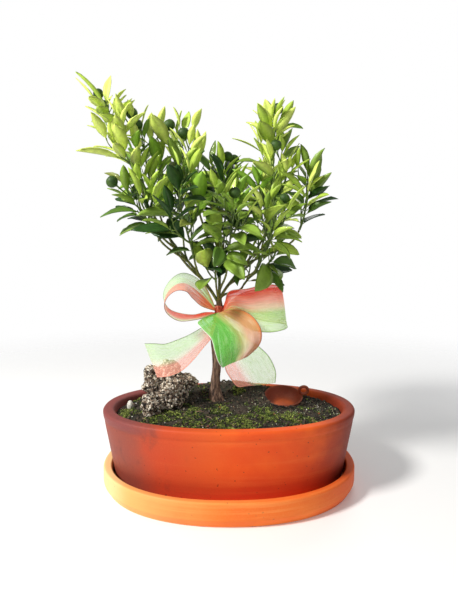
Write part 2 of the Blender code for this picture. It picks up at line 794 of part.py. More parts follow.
def grow_crown(paths, air):
    """Grows every mass: stems first, then fruit, then leaves from the tips down.

    Returns, for each mass, its twigs, fruit and leaves. What would touch anything is turned, and
    skipped if it still touches.
    """
    crown = {}
    for name, (bough, tip, *_) in MASSES.items():
        stem = mass_stem(paths[bough], Vector(tip) * MM)
        air.add(name + " stem", *twig_probe(stem, STEM_RADIUS))
        crown[name] = {"twigs": [stem], "fruit": [], "leaves": []}
    for name, (_, _, count, length, _, seed) in MASSES.items():
        own = (name + " stem",)
        stem = crown[name]["twigs"][0]
        for shoot in side_shoots(name, stem, count, length, seed):
            probe = twig_probe(shoot, SHOOT_RADIUS + SHOOT_CLEAR)
            if air.free(*probe, owners=own):
                air.add(name + " shoot", *probe)
                crown[name]["twigs"].append(shoot)
    for name, (*_, fruit, seed) in MASSES.items():
        mass = crown[name]
        own = (name + " stem", name + " shoot")
        for tries in fruit_places(mass["twigs"][0], mass["twigs"][1:], fruit, seed, name):
            for foot, centre, radius in tries:
                bm = ball(centre, radius + FRUIT_CLEAR)
                points = [v.co.copy() for v in bm.verts]
                faces = [tuple(v.index for v in f.verts) for f in bm.faces]
                bm.free()
                stalk = twig_probe([foot, centre], TWIG_TIP_RADIUS + FRUIT_CLEAR)
                if air.free(points, faces, owners=own) and air.free(*stalk, owners=own):
                    air.add(name + " fruit", points, faces)
                    air.add(name + " stalk", *stalk)
                    mass["fruit"].append((foot, centre, radius))
                    break
    queue = []
    for name, row in MASSES.items():
        for twig, path in enumerate(crown[name]["twigs"]):
            first = BARE_STEM if twig == 0 else BARE_SHOOT
            for rank, tries in enumerate(leaf_slots(name, twig, path, row[5], first)):
                queue.append((rank, name, tries))
    queue.sort(key=lambda entry: entry[0])
    for rank, name, tries in queue:
        own_feet = (name + " foot",)
        own = (name + " stem", name + " shoot", name + " stalk", name + " leaf", *own_feet)
        for leaf in tries:
            blade = leaf_probe(*leaf, LEAF_CLEAR)
            foot = leaf_probe(*leaf, LEAF_CLEAR, FOOT)
            if air.free(*blade, owners=own_feet) and air.free(*foot, owners=own):
                air.add(name + " leaf", *leaf_probe(*leaf, LEAF_BODY))
                air.add(name + " foot", *foot)
                crown[name]["leaves"].append(leaf)
                break
    return crown


def mass_object(name, mass, finish):
    """Fuses one mass's twigs, fruit and leaves into one solid."""
    parts = []
    for twig, path in enumerate(mass["twigs"]):
        thick = STEM_RADIUS if twig == 0 else SHOOT_RADIUS
        last = len(path) - 1
        radii = [thick + (TWIG_TIP_RADIUS - thick) * k / last for k in range(last + 1)]
        bm = bmesh.new()
        tube(bm, path, radii, TWIG_SIDES)
        parts.append(finished(f"{name}_twig_{twig}", bm, finish))
    for k, (foot, centre, radius) in enumerate(mass["fruit"]):
        bm = bmesh.new()
        tube(bm, [foot, centre], [TWIG_TIP_RADIUS] * 2, TWIG_SIDES)
        parts.append(finished(f"{name}_stalk_{k}", bm, finish))
        parts.append(finished(f"{name}_fruit_{k}", ball(centre, radius), finish))
    for k, leaf in enumerate(mass["leaves"]):
        bm = bmesh.new()
        verts = [bm.verts.new(p) for p in leaf_points(*leaf)]
        for face in (*LEAF_TOP, *LEAF_KEEL):
            bm.faces.new([verts[i] for i in face])
        parts.append(finished(f"{name}_leaf_{k}", bm, finish))
    base = parts[0]
    join_all(base, parts[1:])
    base.name = name
    keep_main_body(base)
    return base


def ribbon_strip(name, stations, finish, neighbours):
    """One strip of ribbon between its two edges, given its thickness by Solidify.

    Its ends run into the knot, and it is cut back to leave the small gap to its neighbours.
    """
    edges = []
    for side in (0, 1):
        edges.append(smooth_path([Vector(s[side]) * MM for s in stations], RIBBON_STEPS))
    bm = bmesh.new()
    rows = []
    for a, b in zip(*edges):
        rows.append([bm.verts.new(a.lerp(b, k / RIBBON_SPANS)) for k in range(RIBBON_SPANS + 1)])
    for low, high in zip(rows, rows[1:]):
        for i in range(RIBBON_SPANS):
            bm.faces.new((low[i], low[i + 1], high[i + 1], high[i]))
    mesh = bpy.data.meshes.new(name)
    bm.to_mesh(mesh)
    bm.free()
    made = bpy.data.objects.new(name, mesh)
    bpy.context.collection.objects.link(made)
    made.data.materials.append(finish)
    wall = made.modifiers.new("wall", "SOLIDIFY")
    wall.thickness = RIBBON_THICKNESS
    wall.offset = 0.0
    with bpy.context.temp_override(object=made, active_object=made):
        bpy.ops.object.modifier_apply(modifier=wall.name)
    for other in neighbours:
        if surface(made).overlap(surface(other)):
            cut_clear(made, other)
    keep_main_body(made)
    return made


def ribbon_knot(finish, stem):
    """The wrap of ribbon round the trunk, cut clear of it."""
    bm = bmesh.new()
    profile = ((0.72, -0.5), (0.95, -0.36), (1.0, 0.0), (0.95, 0.36), (0.72, 0.5))
    rings = []
    for share, height in profile:
        ring = []
        for i in range(KNOT_SIDES):
            turn = 2 * math.pi * i / KNOT_SIDES
            reach = KNOT_RADIUS * share
            offset = Vector((reach * math.cos(turn), reach * math.sin(turn), KNOT_HEIGHT * height))
            ring.append(bm.verts.new(KNOT_CENTRE + offset))
        rings.append(ring)
    loft(bm, rings)
    made = finished("ribbon_knot", bm, finish)
    cut_clear(made, stem)
    keep_main_body(made)
    return made


def rough_blob(centre, size, detail, seed_shift, roughness, grain):
    """A stone: a sphere scaled to its size and roughened by noise."""
    bm = bmesh.new()
    bmesh.ops.create_icosphere(bm, subdivisions=detail, radius=1.0)
    for v in bm.verts:
        place = Vector((v.co.x * size.x, v.co.y * size.y, v.co.z * size.z))
        push = noise.noise((place + centre) / grain + Vector((seed_shift, 0, 0)))
        v.co = centre + place * (1 + roughness * push)
    return bm


def rock(finish):
    """The porous rock: rough lobes fused into one stone."""
    lobes = []
    for k, (centre, size) in enumerate(ROCK_LOBES):
        place = Vector(centre) * MM
        bm = rough_blob(place, Vector(size) * MM, ROCK_DETAIL, 5.0 * k, ROCK_ROUGHNESS, ROCK_GRAIN)
        lobes.append(finished(f"rock_lobe_{k}", bm, finish))
    join_all(lobes[0], lobes[1:])
    lobes[0].name = "rock"
    keep_main_body(lobes[0])
    return lobes[0]


def pebble(finish):
    bm = rough_blob(PEBBLE_CENTRE, PEBBLE_SIZE, 2, 9.0, PEBBLE_ROUGHNESS, PEBBLE_GRAIN)
    return finished("pebble", bm, finish)


def dish_place():
    return Matrix.Translation(DISH_CENTRE) @ Matrix.Rotation(DISH_TILT, 4, "X")


def dish(finish):
    """A little round clay dish with one ring ear, tipped a little forward in the soil."""
    bm = bmesh.new()
    radius = DISH_RADIUS
    profile = (
        (0.56 * radius, -DISH_DEPTH),
        (0.82 * radius, -0.62 * DISH_DEPTH),
        (0.97 * radius, -0.12 * DISH_DEPTH),
        (radius - 0.4 * MM, 0.6 * MM),
        (radius - 1.5 * MM, 1.0 * MM),
        (radius - DISH_WALL, -0.6 * MM),
        (0.82 * radius - DISH_WALL, -0.62 * DISH_DEPTH + 0.6 * MM),
        (0.56 * radius - 1.0 * MM, -DISH_DEPTH + DISH_WALL),
    )
    loft(bm, [oval_ring(bm, r, r, z, DISH_SIDES, 2.0) for r, z in profile])
    bm.transform(dish_place())
    bowl = finished("dish", bm, finish)
    bm = bmesh.new()
    rows = []
    for k in range(EAR_STATIONS):
        turn = 2 * math.pi * k / EAR_STATIONS
        row = []
        for i in range(EAR_SIDES):
            round_tube = 2 * math.pi * i / EAR_SIDES
            reach = EAR_RADIUS + EAR_TUBE * math.cos(round_tube)
            rise = EAR_TUBE * math.sin(round_tube)
            offset = Vector((reach * math.sin(turn), rise, reach * math.cos(turn)))
            row.append(bm.verts.new(EAR_CENTRE + offset))
        rows.append(row)
    for k, row in enumerate(rows):
        ahead = rows[(k + 1) % EAR_STATIONS]
        for i in range(EAR_SIDES):
            j = (i + 1) % EAR_SIDES
            bm.faces.new((row[i], row[j], ahead[j], ahead[i]))
    bm.transform(dish_place())
    ear = finished("dish_ear", bm, finish)
    join_all(bowl, [ear])
    keep_main_body(bowl)
    return bowl


def dish_hull(bowl):
    """The dish's outer shape without its hollow, which the soil is cut back from."""
    bm = bmesh.new()
    bm.from_mesh(bowl.data)
    made = bmesh.ops.convex_hull(bm, input=bm.verts)
    keep = {e for e in made["geom"] if isinstance(e, bmesh.types.BMFace)}
    bmesh.ops.delete(bm, geom=[f for f in bm.faces if f not in keep], context="FACES")
    loose = [v for v in bm.verts if not v.link_faces]
    bmesh.ops.delete(bm, geom=loose, context="VERTS")
    return finished("dish_hull", bm, bowl.data.materials[0])


def main():
    for old in list(bpy.data.objects):
        bpy.data.objects.remove(old)
    finish = materials()
    saucer(finish["pale_clay"])
    pot(finish["clay"])
    ground = soil(finish["soil"])
    stem = trunk(finish["bark"])
    stone = rock(finish["rock"])
    small_stone = pebble(finish["rock"])
    bowl = dish(finish["clay"])
    hull = dish_hull(bowl)
    for resting in (stem, stone, small_stone, hull):
        cut_clear(ground, resting)
    remove(hull)
    keep_main_body(ground)
    limbs = {"trunk": stem}
    paths = {"trunk": trunk_path()}
    boughs(finish["bark"], limbs, paths)
    knot = ribbon_knot(finish["red_ribbon"], stem)
    strips = []
    for name, stations in RIBBONS.items():
        colour = "green_ribbon" if name == "ribbon_loop_front" else "red_ribbon"
        strips.append(ribbon_strip(name, stations, finish[colour], [stem, knot, *strips]))
    air = Space()
    for made in (*limbs.values(), knot, *strips, stone):
        air.add_object(made)
    for name, mass in grow_crown(paths, air).items():
        mass_object(name, mass, finish["leaf"])


if __name__ == "__main__":
    main()
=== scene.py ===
"""A small orange tree trained as a bonsai, in an oval clay pot on its saucer: its looks.

Metres, +Z up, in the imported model's frame. The tree is seen from the front when looking along +Y.
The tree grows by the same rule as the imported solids, and is carried on to finer twigs and leaves.
"""

import math
import random

import bmesh
import bpy
import numpy as np
from mathutils import Matrix, Vector, noise
from mathutils.bvhtree import BVHTree


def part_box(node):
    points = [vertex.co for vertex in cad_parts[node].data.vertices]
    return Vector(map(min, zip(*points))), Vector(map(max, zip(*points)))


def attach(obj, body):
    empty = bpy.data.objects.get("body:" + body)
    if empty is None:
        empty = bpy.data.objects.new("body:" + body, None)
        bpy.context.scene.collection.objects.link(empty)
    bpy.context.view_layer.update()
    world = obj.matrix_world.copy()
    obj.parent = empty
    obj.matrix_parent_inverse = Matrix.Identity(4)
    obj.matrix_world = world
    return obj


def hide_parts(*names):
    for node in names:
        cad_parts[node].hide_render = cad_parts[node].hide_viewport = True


MM = 0.001
GAP = 0.3 * MM
GOLDEN = math.radians(137.5)
UP = Vector((0, 0, 1))

# Camera, as the photo was taken
PHOTO_FOCAL = 460.0
PHOTO_HEIGHT = 610.0
SENSOR = 36.0
CAMERA_AT = Vector((0.0, -0.504, 0.252))
CAMERA_PITCH = math.radians(6.05)
FLOOR_REACH = 0.30
FLOOR_FADE = 1.2

# Pot, saucer and soil: oval, half length along X, half depth along Y
OVAL_SIDES = 160
OVAL_POWER = 2.15
SAUCER_HALF_LENGTH = 139.7 * MM
SAUCER_HALF_DEPTH = 103.5 * MM
SAUCER_HEIGHT = 26.0 * MM
SAUCER_BEVEL = 4.6 * MM
SAUCER_WALL = 9.0 * MM
SAUCER_FLOOR = 8.0 * MM
POT_HALF_LENGTH = 140.0 * MM
POT_HALF_DEPTH = 88.0 * MM
POT_RIM_Z = 87.3 * MM
POT_TAPER = 0.168
POT_WALL = 13.0 * MM
POT_FLOOR = 10.0 * MM
POT_FOOT_Z = SAUCER_FLOOR + GAP
DRAIN_RADIUS = 6.0 * MM
DRAIN_OFFSET = 55.0 * MM
SOIL_EDGE_Z = 78.5 * MM
SOIL_CROWN = 9.5 * MM
SOIL_CLEAR = 0.35 * MM
SOIL_MOUND = 26.0 * MM
SOIL_MOUND_AT = Vector((0.0, 0.054))
SOIL_MOUND_SIZE = Vector((0.095, 0.024))
SOIL_DIP = 7.0 * MM
SOIL_DIP_AT = Vector((0.0645, 0.008))
SOIL_DIP_SIZE = Vector((0.030, 0.022))

# Trunk and boughs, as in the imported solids
TRUNK_FOOT = Vector((-14.5, 10.0, 86.5)) * MM
TRUNK_HEIGHT = 119.5 * MM
TRUNK_SWAY = (0.0, -1.2, 0.4, -0.8, -2.4, 3.6, 3.0)
TRUNK_RADIUS_FOOT = 5.4 * MM
TRUNK_RADIUS_TOP = 3.3 * MM
ROOT_FLARE = 4.2 * MM
ROOT_FLARE_HEIGHT = 9.0 * MM
ROOT_LOBES = 4
BOUGHS = (
    ("bough_centre", "trunk", 1.00, (-10, 13, 272), 1.9, 1.1),
    ("bough_left", "trunk", 0.94, (-93, -20, 328), 1.8, 1.1),
    ("bough_right", "trunk", 0.97, (43, 3, 286), 1.7, 1.1),
    ("bough_left_inner", "bough_left", 0.24, (-76, 2, 300), 1.4, 1.0),
    ("bough_left_low", "bough_left", 0.48, (-74, -31, 284), 1.3, 1.0),
    ("bough_centre_left", "bough_centre", 0.55, (-36, 5, 312), 1.4, 1.0),
    ("bough_front_left", "bough_left", 0.12, (-36, -26, 250), 1.3, 1.0),
    ("bough_front", "bough_centre", 0.10, (-2, -20, 240), 1.3, 1.0),
    ("bough_right_outer", "bough_right", 0.50, (76, 0, 280), 1.3, 1.0),
    ("bough_right_low", "bough_right", 0.24, (30, -14, 242), 1.3, 1.0),
    ("bough_right_foot", "bough_right", 0.06, (16, 8, 220), 1.3, 1.0),
    ("bough_fork", "trunk", 0.95, (-14, -9, 224), 1.2, 1.0),
    ("bough_left_foot", "bough_left", 0.40, (-76, -22, 278), 1.2, 1.0),
    ("bough_back_left", "bough_left", 0.33, (-54, 42, 276), 1.3, 1.0),
    ("bough_back", "bough_centre", 0.30, (-6, 46, 272), 1.3, 1.0),
    ("bough_back_right", "bough_right", 0.36, (40, 42, 268), 1.3, 1.0),
)

# Masses of foliage: bough, tip of the stem in mm, side shoots, their length in mm, fruit, seed
MASSES = {
    "foliage_left_tip": ("bough_left", (-122, -22, 402), 5, 24, 2, 236),
    "foliage_left_upper": ("bough_left_inner", (-93, 0, 386), 6, 32, 3, 20),
    "foliage_left_low": ("bough_left_low", (-99, -40, 312), 4, 22, 1, 49),
    "foliage_left_foot": ("bough_left_foot", (-89, -29, 300), 3, 18, 0, 14),
    "foliage_centre_left": ("bough_centre_left", (-56, 2, 376), 7, 30, 3, 137),
    "foliage_front_left": ("bough_front_left", (-50, -50, 318), 6, 32, 1, 172),
    "foliage_centre": ("bough_centre", (-8, 10, 344), 7, 32, 3, 116),
    "foliage_front": ("bough_front", (3, -50, 300), 6, 32, 1, 50),
    "foliage_right_spire": ("bough_right", (45, 0, 393), 8, 32, 2, 154),
    "foliage_right_outer": ("bough_right_outer", (84, -2, 338), 4, 26, 0, 149),
    "foliage_right_low": ("bough_right_low", (48, -30, 298), 6, 32, 1, 56),
    "foliage_right_foot": ("bough_right_foot", (50, -14, 258), 5, 26, 0, 197),
    "foliage_fork": ("bough_fork", (-15, -17, 248), 3, 20, 0, 154),
    "foliage_back_left": ("bough_back_left", (-68, 66, 346), 5, 32, 1, 127),
    "foliage_back": ("bough_back", (-4, 74, 342), 5, 32, 1, 160),
    "foliage_back_right": ("bough_back_right", (54, 62, 338), 5, 32, 1, 155),
}

# How young each mass's leaves are: 0 deep green, 1 lime; the lime high at the upper left is partly painted light, and
# the deep green in the lower centre is partly painted shade
YOUTH_AND_PAINTED_LIGHT = {
    "foliage_left_tip": 1.00,
    "foliage_left_upper": 0.86,
    "foliage_left_low": 0.45,
    "foliage_left_foot": 0.15,
    "foliage_centre_left": 0.80,
    "foliage_front_left": 0.30,
    "foliage_centre": 0.15,
    "foliage_front": 0.25,
    "foliage_right_spire": 0.90,
    "foliage_right_outer": 0.76,
    "foliage_right_low": 0.50,
    "foliage_right_foot": 0.50,
    "foliage_fork": 0.42,
    "foliage_back_left": 0.50,
    "foliage_back": 0.30,
    "foliage_back_right": 0.45,
}
STEM_RADIUS = 1.3 * MM
SHOOT_RADIUS = 1.05 * MM
TWIG_TIP_RADIUS = 0.8 * MM
SHOOT_LEAN = math.radians(42)
FIRST_SHOOT = 0.10
LAST_SHOOT = 0.80
SPRIG_LENGTH = 15.0 * MM
SPRIG_RADIUS = 0.65 * MM
LEAF_LENGTH = 42.5 * MM
LEAF_WIDTH = 0.44
YOUNG_NARROWER = 0.10
LEAF_FOLD = 0.10
LEAF_BEND = 0.06
LEAF_SPACING = 7.1 * MM
LEAF_SPLAY_TIP = math.radians(14)
LEAF_SPLAY_LOW = math.radians(44)
EXTRA_SPREAD = math.radians(16)
LEAF_UPTURN = 1.0
ROSETTE = 1.25
SPREADING_Z = 250.0 * MM
UPRIGHT_Z = 335.0 * MM
SHOOT_UPTURN = 0.5
BARE_STEM = 0.38
BARE_SHOOT = 0.28
YOUNG_SIZE = 0.74
FULL_SIZE = 1.04
LEAF_SINK = 0.4 * MM
LEAF_BODY = 0.2 * MM
LEAF_CLEAR = 1.0 * MM
LEAF_TRIES = 7
TURN_STEP = math.radians(22)
SPLAY_STEP = math.radians(4)
SHOOT_CLEAR = 0.6 * MM
FRUIT_CLEAR = 0.4 * MM
FRUIT_FOOT = 0.96
FRUIT_LEAN = 0.38
FRUIT_STALK = 15.0 * MM
FINE_CLEAR = 0.5 * MM
FRUIT_RADIUS = 6.0 * MM

# Ribbon: each strip's two edges, station by station, in mm
KNOT_CENTRE = Vector((-10.7, 10.0, 189.0)) * MM
KNOT_RADIUS = 7.6 * MM
KNOT_HEIGHT = 15.0 * MM
RIBBONS = {
    "ribbon_loop_left": (
        ((-15.5, 11, 194.5), (-15.5, 6, 191.5)),
        ((-26.5, 11, 218), (-29.5, -6, 198)),
        ((-38.5, 14, 229), (-38.5, -20, 208)),
        ((-52.5, 18, 233), (-44.5, -27, 215.5)),
        ((-64.5, 19, 227), (-54.5, -29, 216.5)),
        ((-73.5, 19, 214), (-63.5, -30, 210)),
        ((-74, 18, 202), (-67, -30, 200)),
        ((-68, 16, 192.5), (-63, -30, 191.5)),
        ((-56, 13, 188), (-52, -26, 184.5)),
        ((-40.5, 11, 186.5), (-37, -15, 184)),
        ((-27, 9, 189.5), (-25.5, -5, 185.5)),
        ((-15.5, 10, 189), (-15.5, 6, 187)),
    ),
    "ribbon_loop_right": (
        ((-6, 8, 194.5), (-6, 6, 188.5)),
        ((-0.5, 1, 213), (7.5, -3, 182)),
        ((19.5, -7, 217), (23.5, -11, 173)),
        ((38.5, -11, 222), (42.5, -17, 171)),
        ((51.5, -9, 221), (58.5, -13, 173)),
        ((57.5, 0, 218), (64.5, -1, 175)),
        ((51.5, 11, 217), (58.5, 9, 177)),
        ((33.5, 17, 215), (39.5, 15, 179)),
        ((12.5, 18, 209), (17.5, 17, 185)),
        ((-6, 14, 194.5), (-6, 12.5, 189)),
    ),
    "ribbon_loop_front": (
        ((-14, 5, 188.5), (-7.5, 5, 190.5)),
        ((-32.5, -17, 183), (9.5, -14, 195)),
        ((-28.5, -27, 177), (23.5, -26, 190)),
        ((-18.5, -37, 168), (32.5, -34, 178)),
        ((-14.5, -45, 157), (33, -33, 164)),
        ((-10.5, -50, 146), (25.5, -23, 151)),
        ((-6, -46, 139.5), (15.5, -12, 142)),
        ((-8, -31, 147), (16.5, -5, 154)),
        ((-10.5, -14, 163), (9.5, -4, 169)),
        ((-13.5, 5, 185.5), (-8.5, 5, 186)),
    ),
    "ribbon_tail_left": (
        ((-16.5, 5.5, 184), (-13, 4, 183)),
        ((-19.5, 3.5, 179.5), (-14.5, 1, 177)),
        ((-28.5, -5, 175), (-19.5, -7, 163)),
        ((-42.5, -14, 168), (-28.5, -15, 153)),
        ((-54.5, -23, 164), (-37.5, -24, 143)),
        ((-66.5, -31, 161), (-48.5, -34, 134)),
        ((-76.5, -37, 162.5), (-60.5, -42, 130)),
        ((-86.5, -40, 163), (-73.5, -44, 129)),
    ),
    "ribbon_tail_right": (
        ((-6, 5.5, 184), (-9, 4, 183)),
        ((-4.5, 5, 179), (-8, 1.5, 176)),
        ((13.5, 6, 166), (-5.5, 1, 152)),
        ((34.5, 13, 149), (-4.5, 5, 128)),
        ((47.5, 25, 134), (0.5, 11, 115)),
        ((56.5, 41, 113), (9.5, 20, 101)),
        ((57.5, 56, 95), (19.5, 27, 99)),
    ),
}

# Stones and the little clay dish
ROCK_LOBES = (
    ((-68, -6, 101), (22, 19, 20)),
    ((-83, -6, 113), (12, 15, 20)),
    ((-67, -4, 121), (15, 13, 16)),
    ((-51, 0, 113), (15, 12, 9)),
    ((-84, -25, 92), (10, 12, 13)),
)
ROCK_ROUGHNESS = 0.30
ROCK_GRAIN = 9.0 * MM
PEBBLE_CENTRE = Vector((-111, -2, 85.5)) * MM
PEBBLE_SIZE = Vector((3.5, 4.0, 5.5)) * MM
PEBBLE_ROUGHNESS = 0.1
PEBBLE_GRAIN = 6.0 * MM
DISH_CENTRE = Vector((64.5, 29.0, 87.0)) * MM
DISH_RADIUS = 23.5 * MM
DISH_DEPTH = 14.0 * MM
DISH_WALL = 2.6 * MM
DISH_TILT = math.radians(15)
EAR_CENTRE = Vector((23.8, 0, 7.4)) * MM
EAR_RADIUS = 5.1 * MM
EAR_TUBE = 1.7 * MM


class Flow:
    """What runs between two nodes. Python's operators on it add Math nodes."""

    def __init__(self, graph, socket):
        self.graph = graph
        self.socket = socket

    def math(self, operation, *terms):
        return self.graph.node("ShaderNodeMath", {"operation": operation}, dict(enumerate(terms)))

    def __add__(self, other):
        return self.math("ADD", self, other)

    def __sub__(self, other):
        return self.math("SUBTRACT", self, other)

    def __rsub__(self, other):
        return self.math("SUBTRACT", other, self)

    def __mul__(self, other):
        return self.math("MULTIPLY", self, other)

    def rise(self, low, high):
        """0 up to low, 1 from high on, and smooth between. High below low makes it a fall."""
        limits = {"Value": self, "From Min": low, "From Max": high}
        return self.graph.node("ShaderNodeMapRange", {"interpolation_type": "SMOOTHSTEP"}, limits)

    __radd__ = __add__
    __rmul__ = __mul__


class Graph:
    """One material and its nodes."""

    def __init__(self, name):
        self.material = bpy.data.materials.new(name)
        self.material.use_nodes = True
        self.tree = self.material.node_tree

    def feed(self, socket, value):
        if isinstance(value, Flow):
            self.tree.links.new(value.socket, socket)
        elif socket.type == "RGBA":
            socket.default_value = (*value, 1)
        else:
            socket.default_value = value

    def node(self, kind, settings=None, inputs=None, output=0):
        made = self.tree.nodes.new(kind)
        for key, value in (settings or {}).items():
            if key == "stops":
                self.set_stops(made.color_ramp, value)
            else:
                setattr(made, key, value)
        for key, value in (inputs or {}).items():
            self.feed(made.inputs[key], value)
        return Flow(self, made.outputs[output])

    @staticmethod
    def set_stops(ramp, stops):
        while len(ramp.elements) < len(stops):
            ramp.elements.new(1.0)
        for element, (at, colour) in zip(ramp.elements, stops):
            element.position = at
            element.color = (*colour, 1)

    def place(self, scale=(1, 1, 1)):
        """Object coordinates, stretched."""
        at = self.node("ShaderNodeTexCoord", output=3)
        return self.node("ShaderNodeMapping", inputs={"Vector": at, "Scale": scale})

    def axis(self, place, index):
        return self.node("ShaderNodeSeparateXYZ", inputs={0: place}, output=index)

    def cloud(self, place, scale, detail=2.0, roughness=0.5):
        inputs = {"Vector": place, "Scale": scale, "Detail": detail, "Roughness": roughness}
        return self.node("ShaderNodeTexNoise", inputs=inputs)

    def cells(self, place, scale, feature="F1"):
        inputs = {"Vector": place, "Scale": scale}
        return self.node("ShaderNodeTexVoronoi", {"feature": feature}, inputs)

    def facets(self, place, scale):
        """One tone for each cell of a Voronoi pattern."""
        inputs = {"Vector": place, "Scale": scale}
        tint = self.node("ShaderNodeTexVoronoi", inputs=inputs, output=1)
        return self.node("ShaderNodeSeparateColor", inputs={0: tint})

    def ramp(self, share, *stops):
        return self.node("ShaderNodeValToRGB", {"stops": stops}, {0: share})

    def mix(self, share, first, second):
        return self.node("ShaderNodeMix", {"data_type": "RGBA"}, {0: share, 6: first, 7: second}, 2)

    def bump(self, height, distance, strength=1.0):
        inputs = {"Height": height, "Distance": distance, "Strength": strength}
        return self.node("ShaderNodeBump", inputs=inputs)

    def finish(self, **values):
        """Feeds the shader's own sockets, named with _ for a space, and returns the material."""
        shader = self.tree.nodes["Principled BSDF"]
        for key, value in values.items():
            self.feed(shader.inputs[key.replace("_", " ")], value)
        return self.material


def shade(colour, by):
    return tuple(min(1.0, c * by) for c in colour)


def clay_finish():
    """The pot's terracotta: redder low down, plum-brown at its left end, with painted shade darkening its right end."""
    g = Graph("terracotta")
    at = g.place()
    broad = g.cloud(at, 13, 4, 0.6)
    run = g.cloud(g.place((6, 6, 160)), 1, 4, 0.6)
    fine = g.cloud(at, 900, 3, 0.7)
    pits = g.cloud(at, 300, 1).rise(0.745, 0.785)
    x = g.axis(at, 0) + broad * 0.06 - 0.03
    z = g.axis(at, 2)
    warm = g.mix(broad.rise(0.38, 0.66), (0.87, 0.130, 0.016), (0.78, 0.085, 0.012))
    low = z.rise(0.052, 0.016) * 0.70
    body = g.mix(low, warm, (0.65, 0.068, 0.032))
    streaked = g.mix(run.rise(0.45, 0.70) * 0.30, body, (0.88, 0.20, 0.045))
    darker_left = g.mix(x.rise(0.020, -0.080) * 0.80, streaked, (0.47, 0.054, 0.022))
    end = x.rise(-0.060, -0.112)
    plum_left_end = g.mix(end * 0.88, darker_left, (0.245, 0.063, 0.046))
    smudge = g.cloud(g.place((1, 1, 0.6)), 55, 4, 0.65).rise(0.52, 0.70) * x.rise(-0.03, -0.09)
    sooty = g.mix(smudge * 0.45, plum_left_end, (0.130, 0.040, 0.030))
    lip = end * z.rise(0.074, 0.082)
    plum = g.mix(lip * 0.75, sooty, (0.22, 0.060, 0.062))
    # Painted shade: the right end is darkened where the light from the left falls off.
    right = g.mix(x.rise(0.064, 0.134) * 0.92, plum, (0.155, 0.020, 0.013))
    marked = g.mix(pits * 0.8, right, (0.07, 0.020, 0.012))
    colour = g.mix(fine.rise(0.45, 0.8) * 0.10, marked, (0.95, 0.30, 0.10))
    height = fine * 0.6 - pits * 1.5 + run * 1.2
    grain = g.bump(height, 0.2 * MM, 0.6)
    return g.finish(Base_Color=colour, Roughness=fine * 0.2 + 0.45, Normal=grain, Specular_IOR_Level=0.2)


def pale_clay_finish():
    """The saucer's paler terracotta, with painted light towards its left end and painted shade towards its right."""
    g = Graph("pale_terracotta")
    at = g.place()
    broad = g.cloud(at, 11, 4, 0.6)
    run = g.cloud(g.place((5, 5, 210)), 1, 4, 0.6)
    fine = g.cloud(at, 800, 3, 0.7)
    pits = g.cloud(at, 300, 1).rise(0.755, 0.79)
    x = g.axis(at, 0) + broad * 0.05 - 0.025
    warm = g.mix(broad.rise(0.35, 0.7), (0.92, 0.215, 0.030), (0.85, 0.155, 0.022))
    banded = g.mix(run.rise(0.45, 0.68) * 0.45, warm, (0.98, 0.40, 0.10))
    # Painted light lightens the left end, most at its far end, and painted shade darkens the right end.
    painted_light_left = g.mix(x.rise(0.0, -0.120) * 0.85, banded, (0.96, 0.50, 0.165))
    painted_highlight_far_left = g.mix(x.rise(-0.098, -0.132) * 0.8, painted_light_left, (0.98, 0.70, 0.34))
    painted_shade_right = g.mix(x.rise(0.05, 0.15) * 0.78, painted_highlight_far_left, (0.64, 0.088, 0.016))
    marked = g.mix(pits * 0.5, painted_shade_right, (0.35, 0.10, 0.04))
    colour = g.mix(fine.rise(0.45, 0.8) * 0.12, marked, (1.0, 0.55, 0.22))
    height = fine * 0.6 - pits + run * 1.0
    grain = g.bump(height, 0.2 * MM, 0.6)
    return g.finish(Base_Color=colour, Roughness=fine * 0.2 + 0.45, Normal=grain, Specular_IOR_Level=0.2)


def dish_finish():
    """The dish's clay: brown-red, with a worn rim, and painted shade darkening its inner wall so that the floor is
    brighter.
    """
    g = Graph("dish_terracotta")
    at = g.place()
    broad = g.cloud(at, 55, 4, 0.6)
    fine = g.cloud(at, 1100, 3, 0.7)
    offset = g.node("ShaderNodeVectorMath", {"operation": "SUBTRACT"}, {0: at, 1: DISH_CENTRE})
    flat = g.node("ShaderNodeVectorMath", {"operation": "MULTIPLY"}, {0: offset, 1: (1, 1, 0)})
    reach = g.node("ShaderNodeVectorMath", {"operation": "LENGTH"}, {0: flat}, 1)
    # Painted shade: the inner wall is darkened where the hollow of the bowl is in shade.
    wall = reach.rise(0.40 * DISH_RADIUS, 0.70 * DISH_RADIUS)
    rim = reach.rise(0.88 * DISH_RADIUS, 0.97 * DISH_RADIUS)
    clay = g.mix(wall, (0.62, 0.115, 0.022), (0.27, 0.046, 0.016))
    worn = g.mix(rim, clay, (0.36, 0.080, 0.030))
    patchy = g.mix(broad.rise(0.35, 0.65) * 0.5, worn, (0.24, 0.036, 0.012))
    colour = g.mix(fine.rise(0.50, 0.8) * 0.30, patchy, (0.80, 0.26, 0.10))
    return g.finish(Base_Color=colour, Roughness=0.62, Normal=g.bump(fine + broad, 0.3 * MM, 0.7))


def soil_finish():
    g = Graph("compost")
    at = g.place()
    crumbs = g.cells(at, 420)
    broad = g.cloud(at, 60, 4)
    fine = g.cloud(at, 900, 3, 0.7)
    dark = g.mix(broad.rise(0.4, 0.62), (0.018, 0.014, 0.011), (0.058, 0.042, 0.029))
    mossy = g.mix(broad.rise(0.62, 0.5) * fine.rise(0.45, 0.7) * 0.5, dark, (0.045, 0.070, 0.014))
    height = crumbs * -1.0 + fine * 0.6
    return g.finish(Base_Color=mossy, Roughness=0.95, Normal=g.bump(height, 1.2 * MM, 0.9))


